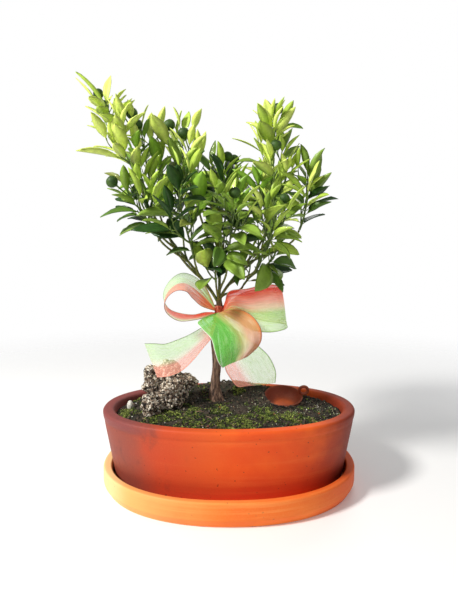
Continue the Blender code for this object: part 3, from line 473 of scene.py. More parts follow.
def crumb_finish():
    g = Graph("compost_crumb")
    at = g.place()
    tone = g.cloud(at, 240, 2)
    colour = g.ramp(tone, (0.36, (0.012, 0.010, 0.009)), (0.55, (0.052, 0.037, 0.026)), (0.70, (0.15, 0.105, 0.068)))
    return g.finish(Base_Color=colour, Roughness=0.95, Normal=g.bump(g.cloud(at, 1500, 2), 0.3 * MM))


def grit_finish():
    g = Graph("white_grit")
    tone = g.cloud(g.place(), 700, 2)
    colour = g.mix(tone.rise(0.4, 0.6), (0.50, 0.47, 0.40), (0.90, 0.88, 0.82))
    return g.finish(Base_Color=colour, Roughness=0.85, Normal=g.bump(tone, 0.2 * MM))


def moss_finish(name, dark, light):
    g = Graph(name)
    tone = g.cloud(g.place(), 130, 3)
    colour = g.mix(tone.rise(0.35, 0.65), dark, light)
    return g.finish(Base_Color=colour, Roughness=0.7, Normal=g.bump(g.cloud(g.place(), 1800, 1), 0.1 * MM))


def rock_finish():
    """Porous stone: cream and brown crystals, set at angles, between black cavities."""
    g = Graph("porous_rock")
    at = g.place()
    bent = g.node("ShaderNodeVectorMath", {"operation": "ADD"}, {0: at, 1: (0.3, 0.1, 0.2)})
    broad = g.cloud(at, 75, 3, 0.6)
    tone = g.facets(bent, 440)
    rims = g.cells(bent, 440, "DISTANCE_TO_EDGE")
    fine = g.cloud(at, 620, 4, 0.7)
    crystal = g.ramp(
        tone + broad * 0.5 - 0.25,
        (0.10, (0.046, 0.036, 0.030)),
        (0.30, (0.20, 0.140, 0.098)),
        (0.50, (0.44, 0.335, 0.24)),
        (0.66, (0.80, 0.70, 0.55)),
        (0.92, (0.93, 0.86, 0.74)),
    )
    cracked = g.mix(rims.rise(0.06, 0.01) * 0.45, crystal, (0.030, 0.022, 0.017))
    colour = g.mix(fine.rise(0.60, 0.68) * 0.8, cracked, (0.035, 0.026, 0.020))
    height = rims.rise(0.0, 0.14) + tone * 0.9 - fine * 0.8
    return g.finish(Base_Color=colour, Roughness=0.8, Normal=g.bump(height, 1.1 * MM, 0.9))


def bark_finish():
    """Grey-brown fissured bark low down, that turns green and smooth on the young boughs."""
    g = Graph("bark")
    at = g.place()
    fissure = g.cloud(g.place((1, 1, 0.16)), 620, 4, 0.65)
    patch = g.cloud(at, 90, 3)
    old = g.ramp(
        fissure,
        (0.36, (0.016, 0.009, 0.007)),
        (0.48, (0.145, 0.080, 0.054)),
        (0.62, (0.330, 0.205, 0.140)),
    )
    grey = g.mix(patch.rise(0.5, 0.7) * 0.3, old, (0.22, 0.16, 0.12))
    young = g.mix(fissure.rise(0.40, 0.62), (0.080, 0.100, 0.022), (0.230, 0.255, 0.052))
    brown_green = g.mix(patch.rise(0.50, 0.70) * 0.35, young, (0.17, 0.125, 0.055))
    age = (g.axis(at, 2) + patch * 0.03).rise(0.204, 0.222)
    colour = g.mix(age, grey, brown_green)
    return g.finish(Base_Color=colour, Roughness=0.85 - age * 0.3, Normal=g.bump(fissure, 0.5 * MM, 0.8))


def twig_finish(name, dark, light):
    g = Graph(name)
    streak = g.cloud(g.place((1, 1, 0.2)), 700, 3)
    colour = g.mix(streak.rise(0.35, 0.65), dark, light)
    return g.finish(Base_Color=colour, Roughness=0.5, Normal=g.bump(streak, 0.1 * MM, 0.5))


def leaf_finish(name, colour, roughness=0.40, coat=0.06):
    """A waxy leaf face: one plain tint with faint mottling and a fine grain of veins."""
    g = Graph(name)
    at = g.place()
    mottle = g.cloud(at, 170, 3, 0.6)
    veins = g.cells(at, 620, "F1")
    base = g.mix(mottle.rise(0.3, 0.7), shade(colour, 0.86), shade(colour, 1.12))
    normal = g.bump(veins * 0.5 + mottle, 0.12 * MM, 0.5)
    looks = {"Base_Color": base, "Roughness": roughness, "Normal": normal, "Coat_Weight": coat}
    return g.finish(**looks, Specular_IOR_Level=0.28)


def fruit_finish():
    """Green rind with oil glands."""
    g = Graph("green_rind")
    at = g.place()
    glands = g.cells(at, 1050)
    tone = g.cloud(at, 120, 3)
    base = g.mix(tone.rise(0.35, 0.65), (0.026, 0.066, 0.014), (0.060, 0.125, 0.022))
    colour = g.mix(glands.rise(0.30, 0.12) * 0.4, base, (0.11, 0.19, 0.035))
    rind = g.bump(glands, 0.2 * MM, 0.7)
    return g.finish(Base_Color=colour, Roughness=0.5, Normal=rind, Specular_IOR_Level=0.3)


def ribbon_finish(name, looks):
    """Sheer cloth whose colour runs from one edge of the ribbon to the other.

    The UV map has the length in U and the width in V. The colours change along the length, and
    the cloth is denser near the knot and at its woven edges. Pale streaks on it are painted sheen, and its emission
    paints the light that passes through it.
    """
    g = Graph(name)
    uv = g.node("ShaderNodeTexCoord", output=2)
    along = g.axis(uv, 0)
    drift = g.cloud(g.place(), 24, 3) - 0.5
    across = g.axis(uv, 1)
    wander = across + drift * looks["wander"]
    turn = (along + drift * 0.1).rise(*looks["turn"])
    colour = g.mix(turn, g.ramp(wander, *looks["first"]), g.ramp(wander, *looks["last"]))
    weave = g.node("ShaderNodeMapping", inputs={"Vector": uv, "Scale": (7, 120, 1)})
    thread = g.cloud(weave, 1, 2)
    ruck = g.cloud(g.node("ShaderNodeMapping", inputs={"Vector": uv, "Scale": (9, 16, 1)}), 1, 3)
    # Painted sheen: pale streaks in the colour stand in for the cloth's highlights.
    painted_sheen_streaks = g.mix(ruck.rise(0.52, 0.74) * 0.20, colour, (0.92, 0.88, 0.70))
    edge = across.rise(0.030, 0.012) + across.rise(0.970, 0.988)
    knot = looks["knot"]
    near_knot = along.rise(0.15, 0.02) + along.rise(knot, knot + 0.13)
    rib = g.cloud(g.node("ShaderNodeMapping", inputs={"Vector": uv, "Scale": (2.2, 17, 1)}), 1, 1)
    fold = rib.rise(0.47, 0.56) * (along.rise(0.34, 0.06) + along.rise(knot - 0.18, knot + 0.08))
    cloth = g.mix(fold * looks["gathered"], painted_sheen_streaks, looks["gather"])
    opacity = near_knot * 0.45 + edge * 0.30 + thread.rise(0.3, 0.7) * 0.08 + ruck.rise(0.4, 0.65) * 0.10
    dyed = 0.80 - g.node("ShaderNodeSeparateColor", inputs={0: colour}, output=1)
    opacity = opacity + turn * looks["last_denser"] + fold * 0.25 + dyed * 0.28 + looks["dense"]
    normal = g.bump(thread * 0.4 + ruck, 0.5 * MM, 0.5)
    return g.finish(
        Base_Color=cloth,
        Roughness=0.42,
        Normal=normal,
        Alpha=opacity.math("MINIMUM", opacity, 0.96),
        # Painted light: the cloth glows with its own colour, standing in for light that passes through it.
        Emission_Color=cloth,
        Emission_Strength=looks["glow"],
    )


def plain_finish(name, colour, roughness):
    g = Graph(name)
    tone = g.cloud(g.place(), 400, 2)
    return g.finish(Base_Color=g.mix(tone, shade(colour, 0.9), shade(colour, 1.1)), Roughness=roughness)


def deselect():
    bpy.ops.object.select_all(action="DESELECT")


def take(piece):
    """Makes a piece the only one selected, and active."""
    deselect()
    piece.select_set(True)
    bpy.context.view_layer.objects.active = piece


def hold_still(piece):
    """Puts a piece's place into its mesh."""
    take(piece)
    bpy.ops.object.transform_apply(location=True, rotation=True, scale=True)


def put_on(piece, *finishes):
    """Gives a piece its materials, and lets it ride on the one body."""
    piece.data.materials.clear()
    for finish in finishes:
        piece.data.materials.append(finish)
    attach(piece, "root")
    return piece


def smooth(piece, angle=None):
    take(piece)
    if angle is None:
        bpy.ops.object.shade_smooth()
    else:
        bpy.ops.object.shade_smooth_by_angle(angle=math.radians(angle))


def squarer(wave, power):
    """A cosine or sine bent so that the oval it draws is squarer than an ellipse."""
    return math.copysign(abs(wave) ** (2 / power), wave)


def oval_piece(name, profile, sides=OVAL_SIDES, power=OVAL_POWER):
    """Raises an oval piece from a disc, ring by ring: half length, half depth and height."""
    deselect()
    half_length, half_depth, height = profile[0]
    bpy.ops.mesh.primitive_circle_add(vertices=sides, radius=1.0, fill_type="NGON")
    piece = bpy.context.object
    piece.name = name
    for v in piece.data.vertices:
        v.co = Vector((squarer(v.co.x, power), squarer(v.co.y, power), 0))
    bpy.ops.object.mode_set(mode="EDIT")
    bpy.ops.mesh.select_all(action="SELECT")
    bpy.ops.transform.resize(value=(half_length, half_depth, 1))
    bpy.ops.transform.translate(value=(0, 0, height))
    for (length0, depth0, z0), (length1, depth1, z1) in zip(profile, profile[1:]):
        bpy.ops.mesh.extrude_region_move(TRANSFORM_OT_translate={"value": (0, 0, z1 - z0)})
        ratio = (length1 / length0, depth1 / depth0, 1)
        bpy.ops.transform.resize(value=ratio, center_override=(0, 0, 0))
    bpy.ops.mesh.select_all(action="SELECT")
    bpy.ops.mesh.normals_make_consistent(inside=False)
    bpy.ops.object.mode_set(mode="OBJECT")
    return piece


def arc(centre_inset, centre_z, radius_inset, radius_z, start, stop, steps, power=2.0):
    """Stations along part of an oval, for rounding the corner of a profile."""
    for k in range(steps + 1):
        turn = math.radians(start + (stop - start) * k / steps)
        inward = squarer(math.cos(turn), power)
        yield centre_inset - radius_inset * inward, centre_z + radius_z * squarer(math.sin(turn), power)


def saucer():
    """The saucer: an upright wall bevelled at its foot, with a thick rim that slopes inwards."""
    top = SAUCER_HEIGHT
    inner = SAUCER_WALL
    inset_height = [(SAUCER_BEVEL + 1.6 * MM, 0.0), (SAUCER_BEVEL + 0.5 * MM, 0.2 * MM)]
    inset_height += [(SAUCER_BEVEL, 0.8 * MM), (3.4 * MM, 3.1 * MM), (2.0 * MM, 5.3 * MM), (0.9 * MM, 7.2 * MM)]
    inset_height += [(0.25 * MM, 9.0 * MM), (0.0, 11.0 * MM), (0.0, 15.0 * MM), (0.0, 19.0 * MM)]
    inset_height += arc(1.9 * MM, top - 2.6 * MM, 1.9 * MM, 2.6 * MM, 0, 90, 7)
    inset_height += [(inner * 0.5, top - 0.45 * MM)]
    inset_height += arc(inner - 2.0 * MM, top - 3.0 * MM, 2.0 * MM, 2.2 * MM, 90, 180, 6)
    inset_height += [(inner + 1.0 * MM, SAUCER_FLOOR + 5 * MM), (inner + 2.0 * MM, SAUCER_FLOOR)]
    profile = [(SAUCER_HALF_LENGTH - d, SAUCER_HALF_DEPTH - d, z) for d, z in inset_height]
    piece = oval_piece("saucer_clay", profile)
    wobble(piece, 0.35 * MM, 14)
    smooth(piece, 50)
    put_on(piece, FINISH["pale_clay"])
    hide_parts("saucer")


def wobble(piece, amount, scale):
    """A hand-thrown unevenness: the walls wander in and out a little, the flat foot stays flat."""
    for v in piece.data.vertices:
        if v.co.z > 1 * MM:
            push = noise.noise(v.co * scale) * amount
            flat = Vector((v.co.x, v.co.y, 0)).normalized()
            v.co += flat * push


def pot_half(z, inset=0.0):
    """Half length and half depth of the pot's tapering wall at a height, less an inset."""
    drop = POT_TAPER * (POT_RIM_Z - z)
    return POT_HALF_LENGTH - drop - inset, POT_HALF_DEPTH - drop - inset


def pot():
    """The pot: tapering oval wall, rounded lip and two drain holes."""
    lip = POT_RIM_Z
    floor = POT_FOOT_Z + POT_FLOOR
    roll = POT_WALL - 5.0 * MM
    inset_height = [(1.5 * MM, POT_FOOT_Z), (0.4 * MM, POT_FOOT_Z + 0.5 * MM), (0.0, POT_FOOT_Z + 1.8 * MM)]
    straight = lip - 12.0 * MM
    for k in range(1, 12):
        inset_height.append((0.0, POT_FOOT_Z + (straight - POT_FOOT_Z) * k / 12))
    inset_height += [(0.15 * MM, straight), (0.5 * MM, lip - 10.6 * MM), (0.05 * MM, lip - 9.2 * MM)]
    inset_height += [(-0.15 * MM, lip - 7.0 * MM)]
    inset_height += arc(5.0 * MM, lip - 5.0 * MM, 5.0 * MM, 5.0 * MM, 0, 90, 9, 2.7)
    inset_height += arc(roll, lip - 5.0 * MM, 5.0 * MM, 5.0 * MM, 90, 180, 8, 2.7)
    inset_height += [(POT_WALL, lip - 12 * MM), (POT_WALL, floor)]
    piece = oval_piece("pot_clay", [(*pot_half(z, d), z) for d, z in inset_height])
    for side in (-1, 1):
        deselect()
        bpy.ops.mesh.primitive_cylinder_add(
            vertices=32,
            radius=DRAIN_RADIUS,
            depth=2 * POT_FLOOR,
            location=(side * DRAIN_OFFSET, 0, POT_FOOT_Z + POT_FLOOR / 2),
        )
        drill = bpy.context.object
        take(piece)
        hole = piece.modifiers.new("drain", "BOOLEAN")
        hole.operation = "DIFFERENCE"
        hole.object = drill
        bpy.ops.object.modifier_apply(modifier=hole.name)
        bpy.data.objects.remove(drill)
    wobble(piece, 0.5 * MM, 11)
    smooth(piece, 50)
    put_on(piece, FINISH["clay"])
    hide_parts("pot")


def swell(x, y, centre, size):
    """A smooth swelling: 1 at its centre, and nothing far from it."""
    return math.exp(-(((x - centre.x) / size.x) ** 2) - ((y - centre.y) / size.y) ** 2)


def soil_height(x, y):
    """Height of the soil's surface: a low crown, a mound at the back and a dip by the dish."""
    half_length, half_depth = pot_half(SOIL_EDGE_Z, POT_WALL)
    reach = min(1.0, abs(x / half_length) ** OVAL_POWER + abs(y / half_depth) ** OVAL_POWER)
    mound = SOIL_MOUND * swell(x, y, SOIL_MOUND_AT, SOIL_MOUND_SIZE) * (1 - reach)
    dip = SOIL_DIP * swell(x, y, SOIL_DIP_AT, SOIL_DIP_SIZE)
    return SOIL_EDGE_Z + SOIL_CROWN * (1 - reach) ** 0.8 + mound - dip


def soil_lumps(x, y):
    """Small lumps on the soil, in metres."""
    coarse = noise.noise(Vector((x, y, 0)) * 90)
    fine = noise.noise(Vector((x, y, 3)) * 340)
    return (1.1 * coarse + 0.7 * fine) * MM


def in_dish(x, y, margin=0.0):
    return (x - DISH_CENTRE.x) ** 2 + (y - DISH_CENTRE.y) ** 2 < (DISH_RADIUS + margin) ** 2


def soil():
    """The compost: an oval plug with a lumpy top, sunk under the little dish."""
    clear = POT_WALL + SOIL_CLEAR
    floor = POT_FOOT_Z + POT_FLOOR + GAP
    half_length, half_depth = pot_half(SOIL_EDGE_Z, clear)
    profile = [(*pot_half(floor, clear), floor), (half_length, half_depth, SOIL_EDGE_Z)]
    rings = 44
    for k in range(1, rings):
        share = 1 - k / rings
        profile.append((half_length * share, half_depth * share, SOIL_EDGE_Z))
    piece = oval_piece("soil_bed", profile, 220)
    for v in piece.data.vertices:
        if v.co.z > floor + 1 * MM:
            x, y = v.co.x, v.co.y
            v.co.z = soil_height(x, y) + soil_lumps(x, y)
            if in_dish(x, y, -1.5 * MM):
                v.co.z = DISH_CENTRE.z - DISH_DEPTH - 6 * MM
    smooth(piece)
    put_on(piece, FINISH["soil"])
    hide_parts("soil")


def mesh_piece(name, points, faces, looks=None):
    """A mesh from arrays of points and of faces, all with the same number of corners."""
    mesh = bpy.data.meshes.new(name)
    faces = np.asarray(faces, np.int32)
    count, corners = faces.shape
    mesh.vertices.add(len(points))
    mesh.vertices.foreach_set("co", np.asarray(points, np.float32).ravel())
    mesh.loops.add(count * corners)
    mesh.loops.foreach_set("vertex_index", faces.ravel())
    mesh.polygons.add(count)
    mesh.polygons.foreach_set("loop_start", np.arange(0, count * corners, corners, dtype=np.int32))
    if looks is not None:
        mesh.polygons.foreach_set("material_index", np.asarray(looks, np.int32))
    mesh.update(calc_edges=True)
    mesh.validate()
    made = bpy.data.objects.new(name, mesh)
    bpy.context.scene.collection.objects.link(made)
    return made


def spread(shape_points, shape_faces, places):
    """Copies one small shape to many places, each a 3 by 3 turn-and-size matrix and a point."""
    points = []
    faces = []
    size = len(shape_points)
    for k, (turn, at) in enumerate(places):
        points.append(shape_points @ turn.T + at)
        faces.append(shape_faces + k * size)
    return np.concatenate(points), np.concatenate(faces)


def icosahedron():
    bm = bmesh.new()
    bmesh.ops.create_icosphere(bm, subdivisions=1, radius=1.0)
    points = np.array([tuple(v.co) for v in bm.verts])
    faces = np.array([[v.index for v in f.verts] for f in bm.faces])
    bm.free()
    return points, faces


def random_turn(rule, size):
    """A random turn, with each axis stretched by its own share of the size."""
    turn = Matrix.Rotation(rule.uniform(0, 6.283), 3, "X") @ Matrix.Rotation(rule.uniform(0, 6.283), 3, "Z")
    stretch = np.diag([size * rule.uniform(0.6, 1.2) for _ in range(3)])
    return np.array(turn) @ stretch


def soil_spots(name, count, keep):
    """Points on the soil, clear of dish, rock and trunk, where keep(x, y, chance) says yes."""
    rule = random.Random(name)
    half_length, half_depth = pot_half(SOIL_EDGE_Z, POT_WALL + 1.0 * MM)
    spots = []
    while len(spots) < count:
        x = rule.uniform(-1, 1)
        y = rule.uniform(-1, 1)
        chance = rule.random()
        if abs(x) ** OVAL_POWER + abs(y) ** OVAL_POWER > 0.98:
            continue
        x *= half_length
        y *= half_depth
        if in_dish(x, y, -0.5 * MM) or not keep(x, y, chance):
            continue
        spots.append(Vector((x, y, soil_height(x, y) + soil_lumps(x, y))))
    return spots, rule


def moss_share(x, y):
    """How mossy the soil is: patches, thicker near the front and round the rock."""
    patch = noise.noise(Vector((x, y, 7)) * 42) + 0.5 * noise.noise(Vector((x, y, 9)) * 120)
    front = max(0.0, min(1.0, (0.01 - y) / 0.07))
    return 0.15 + 1.1 * patch + 0.5 * front - 2.0 * max(0.0, x - 0.045)


def soil_cover():
    """Crumbs, white grit, clay bits, litter and moss on the soil."""
    ball_points, ball_faces = icosahedron()

    def lumps(name, count, smallest, largest, finish, keep, sink=0.2):
        spots, rule = soil_spots(name, count, keep)
        places = []
        for at in spots:
            size = smallest + (largest - smallest) * rule.random() ** 2.5
            places.append((random_turn(rule, size), np.array(at) + (0, 0, size * (0.5 - sink))))
        piece = mesh_piece(name, *spread(ball_points, ball_faces, places))
        put_on(piece, finish)

    lumps("soil_crumbs", 3200, 0.45 * MM, 2.0 * MM, FINISH["crumb"], lambda x, y, c: True)
    lumps("white_grit", 150, 0.35 * MM, 1.25 * MM, FINISH["grit"], lambda x, y, c: c < 0.35 + 8 * max(0, -y))
    lumps("pale_specks", 420, 0.30 * MM, 0.75 * MM, FINISH["moss_pale"], lambda x, y, c: y < 0.03 and c < 0.25 + 9 * x)
    bank = lambda x, y, c: in_dish(x, y, 2.2 * MM) and y < DISH_CENTRE.y
    lumps("dish_banking", 330, 0.9 * MM, 2.4 * MM, FINISH["crumb"], bank)
    lumps("clay_bits", 9, 0.8 * MM, 1.8 * MM, FINISH["dish"], lambda x, y, c: y < 0 and x > -0.05)

    blade = np.array([(-0.16, 0, 0), (0.16, 0, 0), (0.22, 0.30, 0.55), (0, 0.62, 1.0), (-0.22, 0.30, 0.55)])
    sprig_points = []
    sprig_faces = []
    for k in range(4):
        turn = np.array(Matrix.Rotation(k * math.pi / 2, 3, "Z"))
        sprig_points.append(blade @ turn.T)
        sprig_faces += [(5 * k, 5 * k + 1, 5 * k + 2), (5 * k, 5 * k + 2, 5 * k + 4), (5 * k + 4, 5 * k + 2, 5 * k + 3)]
    sprig_points = np.concatenate(sprig_points)
    sprig_faces = np.array(sprig_faces)
    kinds = (
        ("moss_dark", 5200, 0.8, 1.7, 0.42),
        ("moss_green", 3600, 0.9, 2.1, 0.55),
        ("moss_bright", 2200, 0.9, 2.2, 0.62),
    )
    for name, count, low, high, least in kinds:
        spots, rule = soil_spots(name, count, lambda x, y, c: moss_share(x, y) > least + 0.5 * (c - 0.5))
        places = []
        for at in spots:
            size = rule.uniform(low, high) * MM
            turn = Matrix.Rotation(rule.uniform(0, 6.283), 3, "Z") @ Matrix.Rotation(rule.uniform(-0.5, 0.5), 3, "X")
            places.append((np.array(turn) * size, np.array(at) - (0, 0, 0.3 * MM)))
        piece = mesh_piece(name, *spread(sprig_points, sprig_faces, places))
        put_on(piece, FINISH[name])

    spots, rule = soil_spots("litter", 26, lambda x, y, c: True)
    runs = []
    for at in spots:
        way = Vector((rule.uniform(-1, 1), rule.uniform(-1, 1), rule.uniform(-0.15, 0.3))).normalized()
        length = rule.uniform(4, 13) * MM
        bend = Vector((0, 0, rule.uniform(0.2, 1.2) * MM))
        runs.append(([at - way * length / 2, at + bend, at + way * length / 2], [0.35 * MM, 0.4 * MM, 0.2 * MM]))
    piece = tubes_piece("litter", runs, 5)
    put_on(piece, FINISH["litter"])


def rings_of(path, radii, sides, side=None):
    """Rings of points round a path, one per station."""
    side = side or UP.orthogonal()
    rings = []
    for k, point in enumerate(path):
        ahead = (path[min(k + 1, len(path) - 1)] - path[max(k - 1, 0)]).normalized()
        side = (side - ahead * side.dot(ahead)).normalized()
        across = ahead.cross(side)
        turns = np.arange(sides) * 2 * math.pi / sides
        ring = np.outer(np.cos(turns), side) + np.outer(np.sin(turns), across)
        rings.append(np.array(point) + ring * radii[k])
    return rings


def tube_mesh(rings, sides):
    """Points and triangles of a tube whose ends close on their middle points."""
    points = np.concatenate([rings[0].mean(0)[None], *rings, rings[-1].mean(0)[None]])
    faces = []
    around = np.arange(sides)
    ahead = (around + 1) % sides
    for k in range(len(rings) - 1):
        low = 1 + k * sides
        high = low + sides
        faces.append(np.stack([low + around, low + ahead, high + ahead], 1))
        faces.append(np.stack([low + around, high + ahead, high + around], 1))
    last = 1 + (len(rings) - 1) * sides
    faces.append(np.stack([np.zeros(sides, int), 1 + ahead, 1 + around], 1))
    faces.append(np.stack([np.full(sides, len(points) - 1), last + around, last + ahead], 1))
    return points, np.concatenate(faces)


def tubes_piece(name, runs, sides):
    """Many tubes as one mesh. Each run is a path and its radii."""
    points = []
    faces = []
    offset = 0
    for path, radii in runs:
        tube_points, tube_faces_ = tube_mesh(rings_of(path, radii, sides), sides)
        points.append(tube_points)
        faces.append(tube_faces_ + offset)
        offset += len(tube_points)
    piece = mesh_piece(name, np.concatenate(points), np.concatenate(faces))
    smooth(piece)
    return piece


def rough_blob(centre, size, detail, seed_shift, roughness, grain):
    """A stone: a sphere scaled to its size and roughened by noise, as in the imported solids."""
    deselect()
    bpy.ops.mesh.primitive_ico_sphere_add(subdivisions=detail, radius=1.0)
    blob = bpy.context.object
    for v in blob.data.vertices:
        place = Vector((v.co.x * size.x, v.co.y * size.y, v.co.z * size.z))
        push = noise.noise((place + centre) / grain + Vector((seed_shift, 0, 0)))
        v.co = centre + place * (1 + roughness * push)
    return blob


def broken(at, cells_per_metre, height):
    """Relief of broken stone: blocks that stand at different heights, with cracks between."""
    gaps, corners = noise.voronoi(at * cells_per_metre)
    block = noise.noise(corners[0] * 3.7)
    crack = max(0.0, 0.16 - (gaps[1] - gaps[0]))
    return height * (1.6 * block - 4.0 * crack)


def rock():
    """The porous rock: rough lobes fused, then broken into blocks, crumbled and pitted."""
    lobes = []
    for k, (centre, size) in enumerate(ROCK_LOBES):
        place = Vector(centre) * MM
        lobes.append(rough_blob(place, Vector(size) * MM, 5, 5.0 * k, ROCK_ROUGHNESS, ROCK_GRAIN))
    deselect()
    for lobe in lobes:
        lobe.select_set(True)
    bpy.context.view_layer.objects.active = lobes[0]
    bpy.ops.object.join()
    piece = bpy.context.object
    piece.name = "porous_rock"
    fuse = piece.modifiers.new("fuse", "REMESH")
    fuse.mode = "VOXEL"
    fuse.voxel_size = 0.7 * MM
    bpy.ops.object.modifier_apply(modifier=fuse.name)
    normals = [v.normal.copy() for v in piece.data.vertices]
    for v, out in zip(piece.data.vertices, normals):
        at = v.co
        blocks = broken(at, 120, 1.9) + broken(at, 300, 0.8)
        crumble = 0.5 * noise.noise(at * 620)
        pit = -5.0 * max(0.0, noise.noise(at * 150 + Vector((5, 0, 0))) - 0.22)
        v.co = at + out * (blocks + crumble + pit) * MM
    smooth(piece, 30)
    put_on(piece, FINISH["rock"])
    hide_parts("rock")


def pebble():
    piece = rough_blob(PEBBLE_CENTRE, PEBBLE_SIZE, 4, 9.0, PEBBLE_ROUGHNESS, PEBBLE_GRAIN)
    piece.name = "pale_pebble"
    smooth(piece)
    put_on(piece, FINISH["grit"])
    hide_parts("pebble")


def dish():
    """The little round dish with its ring ear, tipped a little forward in the soil."""
    r = DISH_RADIUS
    depth = DISH_DEPTH
    profile = [(0.50 * r, -depth + 0.6 * MM), (0.56 * r, -depth), (0.70 * r, -0.84 * depth)]
    profile += [(0.82 * r, -0.62 * depth), (0.92 * r, -0.36 * depth), (0.97 * r, -0.12 * depth)]
    profile += [(r - 0.4 * MM, 0.4 * MM), (r - 0.9 * MM, 0.95 * MM), (r - 1.6 * MM, 1.0 * MM)]
    profile += [(r - DISH_WALL + 0.2 * MM, 0.4 * MM), (r - DISH_WALL - 0.2 * MM, -0.8 * MM)]
    profile += [(0.90 * r - DISH_WALL, -0.40 * depth), (0.82 * r - DISH_WALL, -0.62 * depth + 0.6 * MM)]
    profile += [(0.68 * r - DISH_WALL, -0.78 * depth + 0.6 * MM), (0.50 * r - 1.0 * MM, -depth + DISH_WALL)]
    bowl = oval_piece("clay_dish", [(a, a, z) for a, z in profile], 72, 2.0)
    deselect()
    bpy.ops.mesh.primitive_torus_add(
        major_radius=EAR_RADIUS,
        minor_radius=EAR_TUBE,
        major_segments=40,
        minor_segments=16,
        location=EAR_CENTRE,
        rotation=(math.pi / 2, 0, 0),
    )
    ear = bpy.context.object
    bowl.select_set(True)
    bpy.context.view_layer.objects.active = bowl
    bpy.ops.object.join()
    bowl.matrix_world = Matrix.Translation(DISH_CENTRE) @ Matrix.Rotation(DISH_TILT, 4, "X")
    hold_still(bowl)
    smooth(bowl, 50)
    put_on(bowl, FINISH["dish"])
    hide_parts("dish")


def smooth_path(points, steps):
    """Points along a Catmull-Rom curve through the given points."""
    ends = [2 * points[0] - points[1], *points, 2 * points[-1] - points[-2]]
    path = []
    for a, b, c, d in zip(ends, ends[1:], ends[2:], ends[3:]):
        for k in range(steps):
            t = k / steps
            near = 2 * b + (c - a) * t
            far = (2 * a - 5 * b + 4 * c - d) * t**2 + (3 * b - a - 3 * c + d) * t**3
            path.append(0.5 * (near + far))
    path.append(points[-1].copy())
    return path


def bezier(p0, p1, p2, p3, steps):
    """Points along a cubic curve from p0 to p3."""
    path = []
    for k in range(steps + 1):
        t = k / steps
        s = 1 - t
        path.append(s**3 * p0 + 3 * s * s * t * p1 + 3 * s * t * t * p2 + t**3 * p3)
    return path


def along(path, share):
    """The point and the direction at a share of a path's stations."""
    at = min(max(share, 0.0), 1.0) * (len(path) - 1)
    i = min(int(at), len(path) - 2)
    step = path[i + 1] - path[i]
    return path[i] + step * (at - i), step.normalized()


def trunk_path(steps=14):
    """The trunk's centre line: upright, with the slight sways of TRUNK_SWAY."""
    knots = []
    for k, sway in enumerate(TRUNK_SWAY):
        share = k / (len(TRUNK_SWAY) - 1)
        knots.append(TRUNK_FOOT + Vector((sway * MM, 0, TRUNK_HEIGHT * share)))
    curve = smooth_path(knots, 6)
    return [along(curve, k / steps)[0] for k in range(steps + 1)]


def bough_path(start, parent_way, tip, steps=7):
    """A limb leaves its parent steeply, leans out and turns up again at its tip."""
    span = tip - start
    level = Vector((span.x, span.y, 0)).normalized()
    leave = 0.33 * span.length * (0.75 * parent_way + 0.35 * level)
    arrive = 0.36 * span.length * (0.90 * UP + 0.25 * level)
    return bezier(start, start + leave, tip - arrive, tip, steps)


def limb_paths():
    """The centre line of the trunk and of each bough."""
    paths = {"trunk": trunk_path()}
    for name, parent, share, tip, foot_radius, tip_radius in BOUGHS:
        start, way = along(paths[parent], share)
        if share == 1.0:
            start = start + way * GAP
        paths[name] = bough_path(start, way, Vector(tip) * MM)
    return paths


def limb(path, radius_at, sides, spacing, relief):
    """Points and faces of one limb with its bark in relief.

    radius_at(share, length) is the bare radius, and relief(share, length, turn, point) is added.
    """
    length = sum((b - a).length for a, b in zip(path, path[1:]))
    fine = smooth_path(path, max(2, math.ceil(length / spacing / (len(path) - 1))))
    count = len(fine)
    rings = rings_of(fine, [1.0] * count, sides)
    run = 0.0
    shaped = []
    for k, ring in enumerate(rings):
        if k:
            run += (fine[k] - fine[k - 1]).length
        centre = np.array(fine[k])
        share = k / (count - 1)
        radius = radius_at(share, run)
        rows = []
        for i, point in enumerate(ring):
            out = point - centre
            turn = 2 * math.pi * i / sides
            rows.append(centre + out * (radius + relief(share, run, turn, centre + out * radius)))
        shaped.append(np.array(rows))
    return tube_mesh(shaped, sides)


def bark_fissures(point, amount, width, length):
    """Ridges and fissures that run along a nearly upright limb."""
    at = Vector((point[0] / width, point[1] / width, point[2] / length))
    ridge = 1 - abs(noise.noise(at)) * 2.4
    flake = noise.noise(at * 2.7 + Vector((4, 1, 8)))
    return amount * (0.75 * ridge + 0.45 * flake - 0.4)


